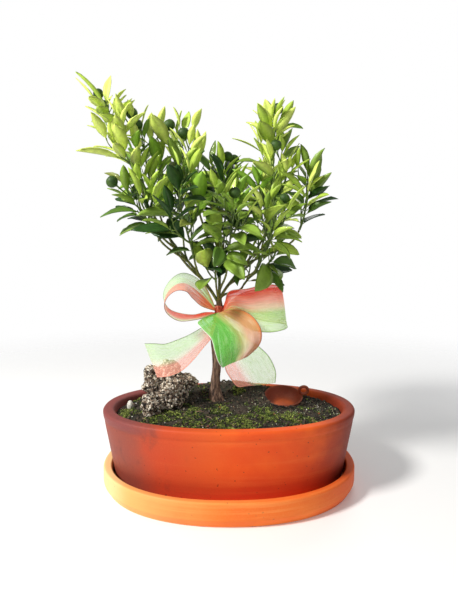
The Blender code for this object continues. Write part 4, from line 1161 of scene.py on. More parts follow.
def wood(paths):
    """Trunk and boughs as one mesh with the bark's relief."""
    points = []
    faces = []
    offset = 0

    def trunk_radius(share, run):
        height = share * TRUNK_HEIGHT
        flare = math.exp(-height / ROOT_FLARE_HEIGHT)
        return TRUNK_RADIUS_FOOT + (TRUNK_RADIUS_TOP - TRUNK_RADIUS_FOOT) * share + ROOT_FLARE * flare

    def trunk_relief(share, run, turn, point):
        height = share * TRUNK_HEIGHT
        flare = math.exp(-height / ROOT_FLARE_HEIGHT)
        roots = 1.5 * MM * flare * math.sin(ROOT_LOBES * turn)
        burl = 0.5 * MM * noise.noise(Vector(point) * 75)
        return roots + burl + bark_fissures(point, 0.55 * MM, 1.5 * MM, 10 * MM)

    made = [limb(paths["trunk"], trunk_radius, 72, 0.7 * MM, trunk_relief)]
    for name, parent, share, tip, foot_radius, tip_radius in BOUGHS:
        phase = random.Random(name).uniform(0, 20)

        def bough_radius(share, run, foot=foot_radius * MM, end=tip_radius * MM):
            collar = 0.35 * MM * math.exp(-run / (4 * MM))
            node = 0.16 * MM * max(0.0, math.cos(run / (13 * MM) * 2 * math.pi + phase)) ** 8
            return foot + (end - foot) * share + collar + node

        def bough_relief(share, run, turn, point, foot=foot_radius):
            return bark_fissures(point, 0.07 * MM * foot, 1.0 * MM, 7 * MM)

        made.append(limb(paths[name], bough_radius, 22, 1.3 * MM, bough_relief))
    for limb_points, limb_faces in made:
        points.append(limb_points)
        faces.append(limb_faces + offset)
        offset += len(limb_points)
    piece = mesh_piece("bark_limbs", np.concatenate(points), np.concatenate(faces))
    smooth(piece)
    put_on(piece, FINISH["bark"])
    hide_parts("trunk", *[row[0] for row in BOUGHS])


class Space:
    """What is already in the crown's air, and whether a new shape would touch it."""

    def __init__(self):
        self.items = []

    @staticmethod
    def box(points):
        low = Vector([min(p[k] for p in points) for k in range(3)])
        high = Vector([max(p[k] for p in points) for k in range(3)])
        return low, high

    def add(self, owner, points, faces):
        self.items.append((owner, self.box(points), BVHTree.FromPolygons(points, faces)))

    def add_object(self, made):
        points = [v.co.copy() for v in made.data.vertices]
        self.add(made.name, points, [tuple(p.vertices) for p in made.data.polygons])

    def free(self, points, faces, owners=()):
        """True if the shape touches nothing but items of the named owners."""
        low, high = self.box(points)
        tree = BVHTree.FromPolygons(points, faces)
        for owner, (low2, high2), other in self.items:
            if owner in owners:
                continue
            if any(low[k] > high2[k] or low2[k] > high[k] for k in range(3)):
                continue
            if tree.overlap(other):
                return False
        return True


def tube_faces(rings, sides):
    """Face indices of a tube of rings with capped ends."""
    faces = []
    for k in range(rings - 1):
        for i in range(sides):
            j = (i + 1) % sides
            faces.append((k * sides + i, k * sides + j, (k + 1) * sides + j, (k + 1) * sides + i))
    faces.append(tuple(range(sides)))
    faces.append(tuple((rings - 1) * sides + i for i in range(sides)))
    return faces


def twig_probe(path, radius):
    """A slightly fat four-sided tube for testing whether a twig has room."""
    rings = rings_of(path, [radius] * len(path), 4)
    points = [Vector(p) for ring in rings for p in ring]
    return points, tube_faces(len(path), 4)


def leaf_frame(way, phase, splay, roll):
    """Direction and upper-face normal of a leaf that leaves a twig at an angle."""
    side = way.orthogonal().normalized()
    out = Matrix.Rotation(phase, 3, way) @ side
    direction = (way * math.cos(splay) + out * math.sin(splay)).normalized()
    normal = (way - direction * way.dot(direction)).normalized()
    normal = Matrix.Rotation(roll, 3, direction) @ normal
    return direction, normal


def youth_at(z):
    """0 for the spreading leaves low in the crown, 1 for the upright ones high in it."""
    return min(1.0, max(0.0, (z - SPREADING_Z) / (UPRIGHT_Z - SPREADING_Z)))


def half_width_of(root, length):
    """Half the width of a blade: young ones, high in the crown, are narrower."""
    return 0.5 * length * (LEAF_WIDTH - YOUNG_NARROWER * youth_at(root.z))


def leaf_point(root, direction, normal, length, s, half_width, lift):
    """A point of the blade: s along it, half_width across it, lift off its plane."""
    across = direction.cross(normal)
    bend = -LEAF_BEND * length * s * s
    rise = LEAF_FOLD * abs(half_width) + bend + lift
    return root + direction * (length * s) + across * half_width + normal * rise


BLADE = ((0.20, 0.7), (0.30, 1.06), (0.69, 0.94), (1.03, 0.0), (0.69, -0.94), (0.30, -1.06), (0.20, -0.7))
FOOT = ((0.0, 0.15), (0.22, 0.85), (0.22, -0.85), (0.0, -0.15))
KEEL_DEPTH = 0.9 * MM


def leaf_probe(root, direction, normal, length, clear, outline=BLADE):
    """The blade or its foot, thickened by a clearance, for testing whether it has room."""
    width = half_width_of(root, length)
    points = []
    for lift in (clear, -clear - KEEL_DEPTH):
        for s, w in outline:
            points.append(leaf_point(root, direction, normal, length, s, w * width, lift))
    count = len(outline)
    faces = [tuple(range(count)), tuple(range(count, 2 * count))]
    for i in range(count):
        j = (i + 1) % count
        faces.append((i, j, count + j, count + i))
    return points, faces


def mass_stem(bough, tip):
    """The stem of a mass: it carries on from the bough's tip, 0.3 mm clear of it."""
    start, way = along(bough, 1.0)
    start = start + way * GAP
    span = tip - start
    arrive = (0.8 * UP + 0.5 * span.normalized()).normalized()
    return bezier(start, start + 0.3 * span.length * way, tip - 0.35 * span.length * arrive, tip, 5)


def side_shoots(name, stem, count, length, seed):
    """Side shoots round a stem, by the golden angle, shorter towards the tip and turning up."""
    shoots = []
    phase = random.Random(f"{name} {seed}").uniform(0, 2 * math.pi)
    for i in range(count):
        rule = random.Random(f"{name} {seed} shoot {i}")
        share = FIRST_SHOOT + (LAST_SHOOT - FIRST_SHOOT) * i / max(1, count - 1)
        start, way = along(stem, share)
        lean = SHOOT_LEAN * rule.uniform(0.75, 1.25)
        reach = length * MM * (1.15 - 0.55 * share) * rule.uniform(0.85, 1.15)
        out = Matrix.Rotation(phase + i * GOLDEN + rule.uniform(-0.3, 0.3), 3, way)
        out = out @ way.orthogonal().normalized()
        away = (way * math.cos(lean) + out * math.sin(lean)).normalized()
        end = start + (away * 0.8 + UP * SHOOT_UPTURN).normalized() * reach
        shoots.append(bezier(start, start + 0.4 * reach * away, end - 0.3 * reach * UP, end, 3))
    return shoots


def leaf_slots(name, twig, path, seed, first):
    """Each leaf's foot, direction, normal and length along one twig, before any is skipped."""
    total = sum((b - a).length for a, b in zip(path, path[1:]))
    count = max(3, round(total * (1 - first) / LEAF_SPACING))
    turn = random.Random(f"{name} {seed} {twig}").uniform(0, 2 * math.pi)
    slots = []
    for k in range(count):
        rule = random.Random(f"{name} {seed} {twig} leaf {k}")
        down = k / max(1, count - 1)
        point, way = along(path, 1 - (1 - first) * down**ROSETTE)
        young = youth_at(point.z)
        way = (way + LEAF_UPTURN * young * UP).normalized()
        splay = LEAF_SPLAY_TIP + (LEAF_SPLAY_LOW - LEAF_SPLAY_TIP) * down**0.8 + EXTRA_SPREAD * (1 - young)
        splay *= rule.uniform(0.8, 1.2)
        grown_up = YOUNG_SIZE + (FULL_SIZE - YOUNG_SIZE) * min(1.0, 1.6 * down)
        size = LEAF_LENGTH * grown_up * rule.uniform(0.86, 1.10)
        roll = rule.uniform(-0.45, 0.45)
        tries = []
        for attempt in range(LEAF_TRIES):
            shift = (attempt + 1) // 2 * TURN_STEP * (1 if attempt % 2 else -1)
            wider = splay + attempt * SPLAY_STEP
            direction, normal = leaf_frame(way, turn + k * GOLDEN + shift, wider, roll)
            root = point - direction * LEAF_SINK
            tries.append((root, direction, normal, size * (1 - 0.03 * attempt)))
        slots.append(tries)
    return slots


def fruit_places(stem, shoots, count, seed, name):
    """Feet, centres and radii of the fruit, each on a stalk that stands up from a twig's tip."""
    places = []
    for i in range(count):
        rule = random.Random(f"{name} {seed} fruit {i}")
        path = stem if i == 0 else shoots[(2 * i + 1) % len(shoots)]
        foot, way = along(path, FRUIT_FOOT)
        radius = FRUIT_RADIUS * rule.uniform(0.85, 1.05)
        away = Vector((foot.x - TRUNK_FOOT.x, foot.y - TRUNK_FOOT.y, 0))
        side = (away - way * away.dot(way)).normalized()
        lean = rule.uniform(-0.8, 0.8)
        stalk = FRUIT_STALK * rule.uniform(0.6, 1.2)
        tries = []
        for attempt in range(6):
            out = Matrix.Rotation(lean + attempt, 3, way) @ side
            reach = (way + FRUIT_LEAN * out).normalized() * (stalk + radius)
            tries.append((foot, foot + reach, radius))
        places.append(tries)
    return places


def ball_probe(centre, radius):
    bm = bmesh.new()
    place = Matrix.Translation(centre)
    bmesh.ops.create_icosphere(bm, subdivisions=1, radius=radius, matrix=place)
    points = [v.co.copy() for v in bm.verts]
    faces = [tuple(v.index for v in f.verts) for f in bm.faces]
    bm.free()
    return points, faces


def sprigs(name, path, twig, reach):
    """Finer twigs on one shoot or stem: short, steep, and within the mass's own box."""
    low, high = reach
    for k, share in enumerate((0.42, 0.66)):
        rule = random.Random(f"{name} sprig {twig} {k}")
        point, way = along(path, share)
        out = Matrix.Rotation(rule.uniform(0, 6.283), 3, way) @ way.orthogonal().normalized()
        away = (way + 0.9 * out).normalized()
        length = SPRIG_LENGTH * rule.uniform(0.7, 1.2)
        end = point + (away + 0.5 * UP).normalized() * length
        if all(low[i] < end[i] < high[i] for i in range(3)):
            yield bezier(point, point + 0.4 * length * away, end - 0.3 * length * UP, end, 3)


def inside(leaf, reach):
    """True if a leaf's tip stays in its mass's box."""
    root, direction, normal, length = leaf
    low, high = reach
    tip = root + direction * length
    return all(low[i] <= tip[i] <= high[i] for i in range(3))


def try_leaves(air, name, queue, leaves, clear, reach=None):
    """Gives each slot its first leaf that has room. Each entry is tries, youth and spray."""
    own_feet = (name + " foot",)
    own = (name + " stem", name + " shoot", name + " stalk", name + " leaf", *own_feet)
    for tries, youth, spray in queue:
        for leaf in tries:
            if reach and not inside(leaf, reach):
                continue
            foot = leaf_probe(*leaf, clear, FOOT)
            if air.free(*leaf_probe(*leaf, clear), owners=own_feet) and air.free(*foot, owners=own):
                air.add(name + " leaf", *leaf_probe(*leaf, LEAF_BODY))
                air.add(name + " foot", *foot)
                leaves.append((*leaf, youth, spray))
                break


def grow_crown(paths, air):
    """Grows every mass by the source's rule, then carries it on to finer twigs and leaves."""
    crown = {}
    for name, (bough, tip, count, length, fruit, seed) in MASSES.items():
        stem = mass_stem(paths[bough], Vector(tip) * MM)
        air.add(name + " stem", *twig_probe(stem, STEM_RADIUS))
        crown[name] = {"twigs": [stem], "fruit": [], "leaves": [], "sprigs": []}
    for name, (bough, tip, count, length, fruit, seed) in MASSES.items():
        own = (name + " stem",)
        for shoot in side_shoots(name, crown[name]["twigs"][0], count, length, seed):
            probe = twig_probe(shoot, SHOOT_RADIUS + SHOOT_CLEAR)
            if air.free(*probe, owners=own):
                air.add(name + " shoot", *probe)
                crown[name]["twigs"].append(shoot)
    for name, (bough, tip, count, length, fruit, seed) in MASSES.items():
        mass = crown[name]
        own = (name + " stem", name + " shoot")
        for tries in fruit_places(mass["twigs"][0], mass["twigs"][1:], fruit, seed, name):
            for foot, centre, radius in tries:
                probe = ball_probe(centre, radius + FRUIT_CLEAR)
                stalk = twig_probe([foot, centre], TWIG_TIP_RADIUS + FRUIT_CLEAR)
                if air.free(*probe, owners=own) and air.free(*stalk, owners=own):
                    air.add(name + " fruit", *probe)
                    air.add(name + " stalk", *stalk)
                    mass["fruit"].append((foot, centre, radius))
                    break
    queue = []
    for name, row in MASSES.items():
        for twig, path in enumerate(crown[name]["twigs"]):
            first = BARE_STEM if twig == 0 else BARE_SHOOT
            slots = leaf_slots(name, twig, path, row[5], first)
            for rank, tries in enumerate(slots):
                youth = 1 - rank / max(1, len(slots) - 1)
                queue.append((rank, name, tries, youth, twig))
    queue.sort(key=lambda entry: entry[0])
    for rank, name, tries, youth, twig in queue:
        try_leaves(air, name, [(tries, youth, twig)], crown[name]["leaves"], LEAF_CLEAR)
    for name, row in MASSES.items():
        mass = crown[name]
        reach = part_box(name)
        own = (name + " stem", name + " shoot", name + " foot")
        for twig, path in enumerate(mass["twigs"]):
            for sprig in sprigs(name, path, twig, reach):
                probe = twig_probe(sprig[1:], SPRIG_RADIUS + 0.3 * MM)
                if air.free(*probe, owners=own):
                    air.add(name + " shoot", *probe)
                    mass["sprigs"].append(sprig)
        extra = []
        for twig, path in enumerate(mass["twigs"]):
            for rank, tries in enumerate(leaf_slots(name + " infill", twig, path, row[5], 0.12)):
                extra.append((rank, [small(leaf, 0.92) for leaf in tries], 0.9 - 0.1 * rank, twig))
        for k, path in enumerate(mass["sprigs"]):
            for rank, tries in enumerate(leaf_slots(name + " sprig", k, path, row[5], 0.35)):
                extra.append((rank, [small(leaf, 0.80) for leaf in tries], 1 - 0.4 * rank, -1 - k))
        extra.sort(key=lambda entry: entry[0])
        try_leaves(air, name, [entry[1:] for entry in extra], mass["leaves"], FINE_CLEAR, reach)
    return crown


def small(leaf, share):
    root, direction, normal, length = leaf
    return root, direction, normal, length * share


# One leaf: shares of its length with its width there, and the lines that its two faces have
LEAF_STATIONS = ((0.0, 0.06), (0.11, 0.47), (0.28, 0.89), (0.49, 1.0), (0.70, 0.81), (0.88, 0.42), (1.0, 0.03))
LEAF_COLUMNS = (-1.0, -0.60, -0.065, 0.065, 0.60, 1.0)
UNDER_COLUMNS = (-1.0, -0.065, 0.065, 1.0)
BLADE_START = 0.13


def leaf_template():
    """Faces and looks of one leaf: the upper grid, and a lower one that shares its two edges.

    Looks: 0 the upper face, 1 the lower face, 2 the midrib.
    """
    rows = len(LEAF_STATIONS)
    top = np.arange(rows * len(LEAF_COLUMNS)).reshape(rows, -1)
    inner = top.size + np.arange(rows * (len(UNDER_COLUMNS) - 2)).reshape(rows, -1)
    low = np.hstack([top[:, :1], inner, top[:, -1:]])
    faces = []
    looks = []
    for grid, turned in ((top, False), (low, True)):
        columns = grid.shape[1]
        for i in range(rows - 1):
            for j in range(columns - 1):
                face = (grid[i, j], grid[i, j + 1], grid[i + 1, j + 1], grid[i + 1, j])
                faces.append(face[::-1] if turned else face)
                looks.append(2 if j == (columns - 1) // 2 else int(turned))
    for row, turned in ((0, True), (rows - 1, False)):
        t = top[row]
        a, b = low[row, 1:3]
        for cap in ((t[0], t[1], t[2], a), (t[2], t[3], b, a), (t[3], t[4], t[5], b)):
            faces.append(cap[::-1] if turned else cap)
            looks.append(0)
    return np.array(faces), np.array(looks)


def leaf_mesh(root, direction, normal, length, rule):
    """Points of one curved, folded and slightly waved blade on its petiole."""
    across = np.array(direction.cross(normal))
    d = np.array(direction)
    n = np.array(normal)
    base = np.array(root) + d * BLADE_START * length
    blade = length * (1 - BLADE_START)
    half = half_width_of(root, length) * rule.uniform(0.96, 1.18)
    upright = max(0.0, direction.z)
    fold = math.radians(rule.uniform(18, 44))
    bend = rule.uniform(0.06, 0.26) + (1 - upright) * rule.uniform(0.1, 0.6)
    twist = rule.uniform(-0.35, 0.35)
    wave = rule.uniform(0.0, 0.10)
    phase = rule.uniform(0, 6.283)
    sway = rule.uniform(-0.10, 0.10)
    thick = 0.26 * MM
    upper = []
    lower = []
    for s, w in LEAF_STATIONS:
        turn = bend * (s - 0.15)
        spine = base + d * blade * math.sin(bend * s) / bend - n * blade * (1 - math.cos(bend * s)) / bend
        spine = spine + across * sway * blade * s * (1 - s)
        up = n * math.cos(turn) + d * math.sin(turn)
        side = across * math.cos(twist * s) + up * math.sin(twist * s)
        up = up * math.cos(twist * s) - across * math.sin(twist * s)
        for u in LEAF_COLUMNS:
            out = u * w * half
            lift = abs(out) * math.sin(fold) * (1 - 0.35 * abs(u))
            ripple = wave * half * u * u * math.sin(9 * s + phase + (1.3 if u > 0 else 0))
            sink = 0.14 * MM if abs(u) < 0.1 else 0.0
            point = spine + side * out * math.cos(fold) + up * (lift + ripple - sink)
            upper.append(point)
            if u in UNDER_COLUMNS[1:-1]:
                lower.append(point - up * (thick + 0.22 * MM))
    return upper + lower


TINTS = (
    ("lime", (0.74, 0.87, 0.190), (0.68, 0.78, 0.33)),
    ("fresh", (0.49, 0.67, 0.095), (0.49, 0.61, 0.21)),
    ("bright", (0.27, 0.49, 0.050), (0.36, 0.50, 0.17)),
    ("mid", (0.240, 0.380, 0.050), (0.33, 0.43, 0.15)),
    ("olive", (0.225, 0.265, 0.052), (0.32, 0.36, 0.14)),
    ("green", (0.098, 0.200, 0.026), (0.18, 0.28, 0.075)),
    ("deep", (0.028, 0.080, 0.016), (0.085, 0.155, 0.040)),
)
TINT_ORDER = (0, 0, 1, 1, 3, 3, 5, 6, 6)
STRAY_TINTS = {3: 2, 5: 4}
STRAY_SHARE = 0.30


def tint_of(name, leaf):
    """Which tint a leaf's spray takes: younger near tips and high up, older low and inside; the lighter tints high up
    are partly painted light, and the deep ones low and inside are partly painted shade.

    Some sprays stray to a brighter or browner green than their age gives them.
    """
    root, *_, youth, spray = leaf
    rule = random.Random(f"{name} tint {spray}")
    # Partly painted light and shade: higher leaves and the upper-left masses take lighter tints, and lower and inner
    # ones take darker tints.
    height = (root.z - 0.27) / 0.13
    old = 1 - (0.55 * YOUTH_AND_PAINTED_LIGHT[name] + 0.22 * youth + 0.25 * height) + rule.uniform(-0.38, 0.38)
    tint = TINT_ORDER[max(0, min(len(TINT_ORDER) - 1, round(old * (len(TINT_ORDER) - 1))))]
    if rule.random() < STRAY_SHARE:
        tint = STRAY_TINTS.get(tint, tint)
    return tint


def foliage(crown):
    """Leaves, petioles, twigs and fruit of the whole crown, each kind joined."""
    faces, looks = leaf_template()
    sprays = {k: [] for k in range(len(TINTS))}
    stalks = []
    for name, mass in crown.items():
        for k, leaf in enumerate(mass["leaves"]):
            rule = random.Random(f"{name} look {k}")
            tint = tint_of(name, leaf)
            root, direction, normal, length, youth, spray = leaf
            sprays[tint].append(leaf_mesh(root, direction, normal, length, rule))
            end = root + direction * (BLADE_START + 0.02) * length
            bow = root + direction * 0.5 * BLADE_START * length - normal * 0.3 * MM
            stalks.append(([root, bow, end], [0.55 * MM, 0.45 * MM, 0.4 * MM]))
    size = len(sprays[0][0]) if sprays[0] else 0
    for tint, made in sprays.items():
        if not made:
            continue
        label, upper, under = TINTS[tint]
        size = len(made[0])
        points = np.concatenate([np.array(m) for m in made])
        all_faces = np.concatenate([faces + k * size for k in range(len(made))])
        piece = mesh_piece("leaves_" + label, points, all_faces, np.tile(looks, len(made)))
        smooth(piece)
        top = leaf_finish("leaf_" + label, upper)
        back = leaf_finish("leaf_back_" + label, under, 0.6, 0.0)
        rib = leaf_finish("leaf_rib_" + label, shade([0.6 * a + 0.4 * b for a, b in zip(upper, under)], 1.45), 0.45, 0.0)
        put_on(piece, top, back, rib)
    piece = tubes_piece("petioles", stalks, 5)
    put_on(piece, FINISH["young_twig"])
    stems = []
    for mass in crown.values():
        for k, path in enumerate(mass["twigs"]):
            thick = STEM_RADIUS if k == 0 else SHOOT_RADIUS
            fine = smooth_path(path, 4)
            last = len(fine) - 1
            stems.append((fine, [thick + (TWIG_TIP_RADIUS * 0.7 - thick) * i / last for i in range(last + 1)]))
        for path in mass["sprigs"]:
            fine = smooth_path(path, 3)
            last = len(fine) - 1
            stems.append((fine, [SPRIG_RADIUS * (1 - 0.4 * i / last) for i in range(last + 1)]))
    piece = tubes_piece("twigs", stems, 8)
    put_on(piece, FINISH["twig"])
    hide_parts(*MASSES)
    fruit(crown)


def fruit(crown):
    """Small green oranges, a little flattened, each with its calyx and stalk."""
    bm = bmesh.new()
    bmesh.ops.create_uvsphere(bm, u_segments=28, v_segments=18, radius=1.0)
    ball = np.array([tuple(v.co) for v in bm.verts])
    bmesh.ops.triangulate(bm, faces=bm.faces)
    ball_faces = np.array([[v.index for v in f.verts] for f in bm.faces])
    bm.free()
    ball[:, 2] *= 0.93
    dent = np.exp(-((ball[:, 0] ** 2 + ball[:, 1] ** 2) / 0.05))
    ball[:, 2] -= np.sign(ball[:, 2]) * dent * 0.07
    rosette = []
    for k in range(10):
        turn = 2 * math.pi * k / 10
        reach = 0.42 if k % 2 == 0 else 0.22
        drop = 0.90 if k % 2 == 0 else 0.97
        rosette.append((reach * math.cos(turn), reach * math.sin(turn), drop))
    rosette = np.array([(0, 0, 1.06), *rosette])
    rosette_faces = np.array([(0, 1 + k, 1 + (k + 1) % 10) for k in range(10)])
    balls = []
    stars = []
    stalks = []
    for name, mass in crown.items():
        for foot, centre, radius in mass["fruit"]:
            top = (foot - centre).normalized()
            turn = top.to_track_quat("Z", "Y").to_matrix()
            balls.append((np.array(turn) * radius, np.array(centre)))
            stars.append((np.array(turn) * radius, np.array(centre)))
            stalks.append(([centre + top * radius * 0.9, foot], [0.85 * MM, 0.65 * MM]))
    for name, shape, finish in (
        ("fruit", (ball, ball_faces), FINISH["fruit"]),
        ("calyxes", (rosette, rosette_faces), FINISH["young_twig"]),
    ):
        places = balls if name == "fruit" else stars
        piece = mesh_piece(name, *spread(*shape, places))
        smooth(piece)
        put_on(piece, finish)
    piece = tubes_piece("fruit_stalks", stalks, 6)
    put_on(piece, FINISH["young_twig"])


RIBBON_STEPS = 9
RIBBON_COLUMNS = 30
RED = (0.80, 0.070, 0.035)
CORAL = (0.88, 0.23, 0.12)
PINK = (0.96, 0.44, 0.33)
BLUSH = (0.96, 0.60, 0.47)
ORANGE = (0.80, 0.25, 0.060)
AMBER = (0.58, 0.27, 0.090)
SALMON = (0.84, 0.27, 0.11)
RUST = (0.46, 0.13, 0.040)
OLIVE = (0.50, 0.52, 0.18)
PEACH = (0.86, 0.62, 0.38)
PALE = (0.80, 0.80, 0.50)
FAINT = (0.82, 0.84, 0.44)
MINT = (0.52, 0.80, 0.30)
LEAFY = (0.42, 0.66, 0.18)
GREEN = (0.125, 0.47, 0.060)
DARK_LINE = (0.30, 0.075, 0.055)
GREY_LINE = (0.36, 0.44, 0.30)
# Painted highlight along a wire edge.
PAINTED_HIGHLIGHT_LINE = (0.86, 0.84, 0.74)
# Each strip's looks; its glow is painted light, an emission that stands in for light passing through the sheer cloth.
STRIP_LOOKS = {
    "ribbon_loop_left": {
        "first": ((0.0, MINT), (0.50, MINT), (0.58, SALMON), (1.0, SALMON)),
        "last": ((0.0, ORANGE), (0.16, RED), (0.55, CORAL), (0.80, PALE), (1.0, MINT)),
        "turn": (0.48, 0.66),
        "edges": (GREY_LINE, DARK_LINE),
        "dense": 0.27,
        "last_denser": 0.20,
        "gather": RED,
        "gathered": 0.5,
        "glow": 0.24,
        "wander": 0.06,
        "knot": 0.86,
        "pleat": 1.0,
    },
    "ribbon_loop_right": {
        "first": ((0.0, RED), (0.12, RED), (0.20, CORAL), (0.31, PINK), (0.48, PEACH), (0.58, LEAFY)),
        "last": ((0.0, RED), (0.22, RED), (0.34, CORAL), (0.50, PALE), (0.76, MINT), (1.0, PALE)),
        "turn": (0.50, 0.62),
        "edges": (PAINTED_HIGHLIGHT_LINE, GREY_LINE),
        "dense": 0.27,
        "last_denser": 0.05,
        "gather": RED,
        "gathered": 0.60,
        "glow": 0.24,
        "wander": 0.16,
        "knot": 0.86,
        "pleat": 1.7,
    },
    "ribbon_loop_front": {
        "first": ((0.0, GREEN), (0.42, GREEN), (0.56, OLIVE), (0.72, AMBER), (0.92, AMBER), (1.0, ORANGE)),
        "last": ((0.0, GREEN), (0.53, GREEN), (0.65, FAINT), (0.80, BLUSH), (0.88, RUST), (1.0, RUST)),
        "turn": (0.30, 0.55),
        "edges": (PAINTED_HIGHLIGHT_LINE, DARK_LINE),
        "dense": 0.38,
        "last_denser": 0.0,
        "gather": RUST,
        "gathered": 0.20,
        "glow": 0.22,
        "wander": 0.22,
        "knot": 0.86,
        "pleat": 0.9,
    },
    "ribbon_tail_left": {
        "first": ((0.0, MINT), (0.30, ORANGE), (1.0, CORAL)),
        "last": ((0.0, MINT), (0.45, MINT), (0.60, PALE), (0.72, PINK), (1.0, PINK)),
        "turn": (0.24, 0.46),
        "edges": (GREY_LINE, PINK),
        "dense": 0.21,
        "last_denser": 0.0,
        "gather": ORANGE,
        "gathered": 0.6,
        "glow": 0.26,
        "wander": 0.10,
        "knot": 1.1,
        "pleat": 0.6,
    },
    "ribbon_tail_right": {
        "first": ((0.0, MINT), (0.45, PALE), (1.0, PINK)),
        "last": ((0.0, MINT), (0.50, MINT), (0.64, PALE), (0.76, PINK), (1.0, PINK)),
        "turn": (0.10, 0.40),
        "edges": (GREY_LINE, PINK),
        "dense": 0.19,
        "last_denser": 0.0,
        "gather": ORANGE,
        "gathered": 0.5,
        "glow": 0.4,
        "wander": 0.10,
        "knot": 1.1,
        "pleat": 0.6,
    },
}


def ribbon_strips():
    """Each strip of sheer ribbon: a fine sheet between its two edges, pleated near the knot."""
    for name, stations in RIBBONS.items():
        looks = STRIP_LOOKS[name]
        closed = name.startswith("ribbon_loop")
        edges = []
        for side in (0, 1):
            edges.append(np.array(smooth_path([Vector(s[side]) * MM for s in stations], RIBBON_STEPS)))
        rows = len(edges[0])
        grid = np.zeros((rows, RIBBON_COLUMNS + 1, 3))
        for j in range(RIBBON_COLUMNS + 1):
            v = j / RIBBON_COLUMNS
            grid[:, j] = edges[0] * (1 - v) + edges[1] * v
        ahead = np.gradient(grid, axis=0)
        aside = np.gradient(grid, axis=1)
        out = np.cross(ahead, aside)
        out /= np.maximum(np.linalg.norm(out, axis=2, keepdims=True), 1e-9)
        phase = random.Random(name).uniform(0, 6.283)
        for i in range(rows):
            u = i / (rows - 1)
            end = min(u, 1 - u) if closed else u
            ruck = looks["pleat"] * math.exp(-((end / 0.13) ** 2)) * min(1.0, end / 0.03)
            for j in range(RIBBON_COLUMNS + 1):
                v = j / RIBBON_COLUMNS
                folds = 1.15 * MM * ruck * math.sin(2 * math.pi * 4.5 * v + phase)
                drape = 0.7 * MM * math.sin(math.pi * v) * math.sin(7 * u + 3 * v + phase) * min(1.0, end / 0.1)
                grid[i, j] += out[i, j] * (folds + drape)
        piece = sheet_piece(name + "_cloth", grid)
        put_on(piece, ribbon_finish("organza_" + name, looks))
        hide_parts(name)
        for side, column, colour in zip(("first", "second"), (0, RIBBON_COLUMNS), looks["edges"]):
            path = [Vector(p) for p in grid[:, column]]
            wire = tubes_piece(f"{name}_{side}_edge", [(path, [0.30 * MM] * rows)], 6)
            put_on(wire, plain_finish(f"edge_{name}_{side}", colour, 0.4))


def sheet_piece(name, grid):
    """A thin sheet from a grid of points, with its length in U and its width in V."""
    rows, columns, _ = grid.shape
    index = np.arange(rows * columns).reshape(rows, columns)
    faces = np.stack([index[:-1, :-1], index[:-1, 1:], index[1:, 1:], index[1:, :-1]], -1).reshape(-1, 4)
    piece = mesh_piece(name, grid.reshape(-1, 3), faces)
    uv = piece.data.uv_layers.new(name="UVMap")
    for loop in piece.data.loops:
        i, j = divmod(loop.vertex_index, columns)
        uv.data[loop.index].uv = (i / (rows - 1), j / (columns - 1))
    take(piece)
    wall = piece.modifiers.new("wall", "SOLIDIFY")
    wall.thickness = 0.12 * MM
    wall.offset = 0.0
    bpy.ops.object.modifier_apply(modifier=wall.name)
    smooth(piece)
    return piece


def ribbon_knot():
    """The gathered wrap of ribbon round the trunk: pleated, drawn in at its waist."""
    deselect()
    bpy.ops.mesh.primitive_cylinder_add(
        vertices=144,
        radius=KNOT_RADIUS,
        depth=KNOT_HEIGHT,
        location=KNOT_CENTRE,
        end_fill_type="NOTHING",
    )
    piece = bpy.context.object
    piece.name = "ribbon_wrap"
    bpy.ops.object.mode_set(mode="EDIT")
    bpy.ops.mesh.select_all(action="SELECT")
    bpy.ops.mesh.subdivide(number_cuts=11)
    bpy.ops.object.mode_set(mode="OBJECT")
    hold_still(piece)
    for v in piece.data.vertices:
        at = v.co - KNOT_CENTRE
        height = 2 * at.z / KNOT_HEIGHT
        turn = math.atan2(at.y, at.x)
        waist = 0.66 + 0.20 * height * height
        sweep = turn + 0.5 * height
        pleat = 0.085 * math.sin(9 * sweep) + 0.045 * math.sin(20 * sweep + 1.7)
        lean = 0.9 * MM * height * math.sin(3 * turn + 0.6)
        reach = KNOT_RADIUS * (waist + pleat)
        v.co = KNOT_CENTRE + Vector((reach * math.cos(turn), reach * math.sin(turn), at.z + lean))
    wall = piece.modifiers.new("wall", "SOLIDIFY")
    wall.thickness = 0.5 * MM
    wall.offset = -1.0
    take(piece)
    bpy.ops.object.modifier_apply(modifier=wall.name)
    smooth(piece)
    put_on(piece, FINISH["knot"])
    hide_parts("ribbon_knot")


def knot_finish():
    """The wrap's cloth: red, with green showing low at the front left."""
    g = Graph("organza_wrap")
    at = g.place()
    tone = g.cloud(g.place((1, 1, 0.25)), 420, 3)
    low = g.axis(at, 2) + g.axis(at, 0) * 0.35 + tone * 0.004
    red = g.ramp(tone, (0.36, (0.20, 0.026, 0.018)), (0.50, (0.80, 0.11, 0.06)), (0.66, (0.95, 0.48, 0.38)))
    colour = g.mix(low.rise(0.1845, 0.1815), red, GREEN)
    return g.finish(Base_Color=colour, Roughness=0.4, Normal=g.bump(tone, 0.2 * MM, 0.6), Alpha=0.93)


